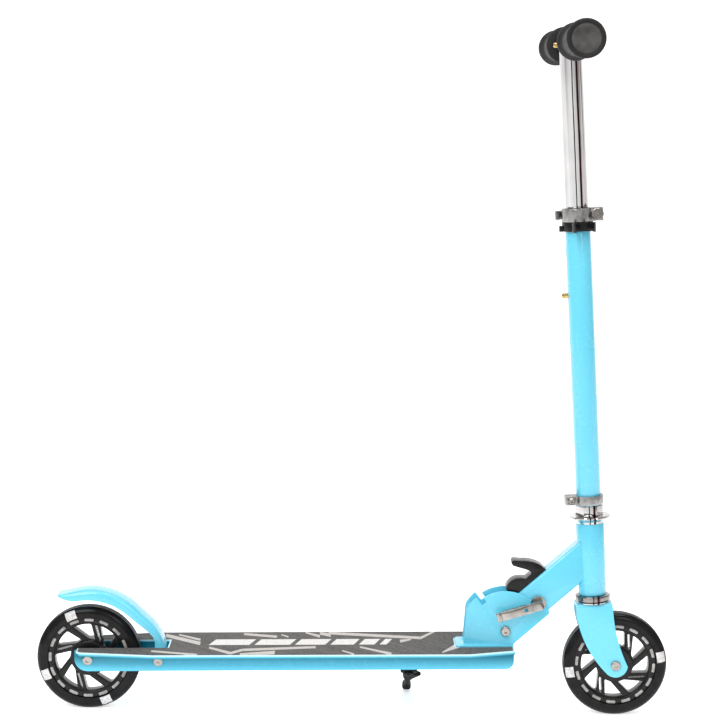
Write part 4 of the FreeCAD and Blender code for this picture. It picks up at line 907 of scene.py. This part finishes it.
def makeKeys(end):
    # each key's outline is a rounded block bent to an arc: radius = middle + v, angle = u / middle. It is as
    # wide as the rim, with a small rounded rise at both faces
    look = keyLook
    hub = np.array(joints[end + "_wheel_spin"]["pos_m"])
    spots = np.empty(len(nodes[end + "_keys"].data.vertices) * 3)
    nodes[end + "_keys"].data.vertices.foreach_get("co", spots)
    spots = spots.reshape(-1, 3) - hub
    waves = np.exp(1j * look["count"] * np.arctan2(spots[:, 2], spots[:, 0]))
    phase = np.angle(waves.sum()) / look["count"] + math.radians(look["turn"][end])
    halfLong, halfTall = look["long"] / 2, look["tall"] / 2
    flat = roundedProfile([(-halfLong, -halfTall), (halfLong, -halfTall), (halfLong, halfTall),
                           (-halfLong, halfTall)], look["bend"], 5)
    flat = polyline(np.concatenate([flat, flat[:1]]), 0.5)[:-1]
    turn = np.linspace(0, math.pi / 2, 4)
    levels = look["half"] - 0.4 + 0.4 * np.sin(turn)
    shrink = 0.4 * (1 - np.cos(turn))
    levels = np.concatenate([-levels[::-1], levels])
    shrink = np.concatenate([shrink[::-1], shrink])
    meshes = []
    for n in range(look["count"]):
        scaled = flat[None] * np.stack([1 - shrink / halfLong, 1 - shrink / halfTall], 1)[:, None]
        angle = phase + 2 * math.pi * n / look["count"] + scaled[..., 0] / look["middle"]
        radius = look["middle"] + scaled[..., 1]
        y = np.repeat(levels[:, None], len(flat), 1)
        points = np.stack([radius * np.cos(angle), y, radius * np.sin(angle)], 2) / 1000 + hub
        meshes.append(gridMesh("key", points, poles=(True, True)))
    whole = outward(joinMeshes(end + "_keys_soft", *meshes))
    autoSmooth(addPiece(end + "_keys_soft", whole, end + "_wheel", "key_urethane", end + "_keys"), 40)


makeKeys("rear")
makeKeys("front")
print("keys made")


# kick stand: a forged leg with a side wing, a narrow waist and a spread foot

standLook = {"fall": 28.08, "eye": 9.8, "bore": 3.3, "half": 3.4,
             "line": [  # distance along the leg, left edge, right edge, half thickness
                 (5, -3.2, 3.2, 3.1), (14, -4.6, 5.0, 3.3), (19, -6.4, 12.5, 3.3), (23, -6.6, 15.2, 3.2),
                 (29, -6.3, 12.6, 3.1), (36, -5.8, 9.0, 3.1), (41, -5.2, 6.4, 3.2), (49, -3.9, 3.9, 3.3),
                 (60, -3.1, 3.1, 3.2), (70, -3.2, 3.1, 3.4), (76, -4.3, 4.0, 4.2), (81, -5.4, 5.0, 5.3),
                 (88, -5.5, 5.2, 5.6), (91.5, -5.1, 4.8, 4.6), (93.6, -4.1, 3.8, 2.8), (94.5, -2.6, 2.4, 1.2)]}


def makeStand():
    # sections across the leg are rounded blocks: |x/a|^n + |z/b|^n = 1 with n = 3.2, their widths eased
    # along the leg; the eye is a turned ring round the bolt
    look = standLook
    pivot = joints["kick_stand"]["pos_m"]
    c, s = math.cos(math.radians(look["fall"])), math.sin(math.radians(look["fall"]))

    def place(points):
        return inFrame(points, pivot, (1, 0, 0), (0, c, -s), (0, s, c))

    table = np.array(look["line"])
    at = np.concatenate([np.linspace(5, 90, 69), np.linspace(90.5, 94.5, 12)])
    left, right, half = (np.interp(at, table[:, 0], table[:, n]) for n in (1, 2, 3))
    turn = np.linspace(0, 2 * math.pi, 41)[:-1]
    power = 2 / 3.2
    across = np.sign(np.cos(turn)) * np.abs(np.cos(turn)) ** power
    deep = np.sign(np.sin(turn)) * np.abs(np.sin(turn)) ** power
    middle, reach = (left + right) / 2, (right - left) / 2
    points = np.stack([middle[:, None] + reach[:, None] * across, np.repeat(at[:, None], 40, 1),
                       half[:, None] * deep], 2)
    leg = gridMesh("standLeg", place(points), poles=(True, True))
    ring = roundedProfile([(look["bore"], -look["half"]), (look["eye"], -look["half"]), (look["eye"], look["half"]),
                           (look["bore"], look["half"])], 0.8)
    eye = turnedMesh("standEye", ring, place, 64)
    whole = outward(joinMeshes("stand_leg_soft", leg, eye))
    autoSmooth(addPiece("stand_leg_soft", whole, bodyOf["stand_leg"], slotOf["stand_leg"], "stand_leg", "stand_foot",
                        finish=standBlack), 45)


makeStand()
print("kick stand made")


# floor, light and camera

stage = {"key": 52, "fill": 12, "rim": 12, "streak": 16, "glow": 0.55, "sky": 0.40}


def makeFloor():
    # a pale floor that bends up into a wall behind: z = 0, then a quarter circle of 1.5 m, then straight up. It
    # glows only behind the scooter
    steps = np.linspace(0, 1, 41)
    turn = steps * math.pi / 2
    reach = np.concatenate([[-9.0], 3.5 + 1.5 * np.sin(turn), [5.0]])
    rise = np.concatenate([[0.0], 1.5 - 1.5 * np.cos(turn), [6.0]])
    across = np.array([-9.0, 9.0])
    grid = np.stack([np.repeat(across, len(reach)), np.tile(reach, 2), np.tile(rise, 2)], 1)
    count = len(reach)
    low = np.arange(count - 1)
    faces = np.stack([low, low + count, low + count + 1, low + 1], 1)
    mesh = bpy.data.meshes.new("floor")
    mesh.from_pydata(grid.tolist(), [], faces.tolist())
    floor = bpy.data.objects.new("floor", smoothed(mesh))
    bpy.context.scene.collection.objects.link(floor)
    p = Finish("paleFloor", (0.93, 0.93, 0.93), Roughness=0.6, Emission_Color=(1, 1, 1, 1),
               Emission_Strength=stage["glow"])
    tone = p.mix(p.noise(1.2, 2), (0.925, 0.925, 0.93), (0.935, 0.935, 0.935))
    behind = p.axes()[1].near(-0.9, -0.3, 0.0, 1.0)
    mesh.materials.append(p.give(Base_Color=tone, Emission_Color=p.mix(behind, (0, 0, 0), (1, 1, 1))))


def makeLight(name, place, aim, size, power):
    # a rectangular area light at the place, turned to the aim
    lamp = bpy.data.lights.new(name, "AREA")
    lamp.shape = "RECTANGLE"
    lamp.size, lamp.size_y = size
    lamp.energy = power
    made = bpy.data.objects.new(name, lamp)
    made.location = place
    made.rotation_euler = (Vector(aim) - Vector(place)).to_track_quat("-Z", "Y").to_euler()
    bpy.context.scene.collection.objects.link(made)


makeFloor()
makeLight("keySoft", (-1.2, -2.1, 2.5), (0, 0, 0.35), (1.8, 1.8), stage["key"])
makeLight("fillSoft", (1.15, -2.4, 2.0), (0, 0, 0.35), (0.9, 1.2), stage["fill"])
makeLight("topSoft", (0.2, 0.6, 3.0), (0, 0, 0.2), (2.6, 1.6), stage["rim"])
makeLight("streak", (-0.05, -0.32, 2.4), (-0.05, 0, 0.1), (2.6, 0.11), stage["streak"])
world = bpy.data.worlds.new("softRoom")
world.use_nodes = True
world.node_tree.nodes["Background"].inputs["Color"].default_value = (1, 1, 1, 1)
world.node_tree.nodes["Background"].inputs["Strength"].default_value = stage["sky"]
bpy.context.scene.world = world

view = {"place": (-0.00566, -2.2872, 0.6906), "pitch": 6.984, "yaw": 0.252, "roll": 0.798, "lens": 100.845}
pitch, yaw, roll = (math.radians(view[word]) for word in ("pitch", "yaw", "roll"))
ahead = Vector((math.sin(yaw) * math.cos(pitch), math.cos(yaw) * math.cos(pitch), -math.sin(pitch)))
level = Vector((math.cos(yaw), -math.sin(yaw), 0))
upward = level.cross(ahead)
across = level * math.cos(roll) + upward * math.sin(roll)
upright = upward * math.cos(roll) - level * math.sin(roll)
lens = bpy.data.cameras.new("camera")
lens.lens = view["lens"]
lens.sensor_width = 36
lens.clip_end = 60
camera = bpy.data.objects.new("camera", lens)
camera.matrix_world = Matrix.Translation(view["place"]) @ Matrix((across, upright, -ahead)).transposed().to_4x4()
bpy.context.scene.collection.objects.link(camera)
bpy.context.scene.camera = camera
bpy.context.scene.view_settings.view_transform = "Standard"
print("stage and camera ready")

bpy.context.view_layer.update()
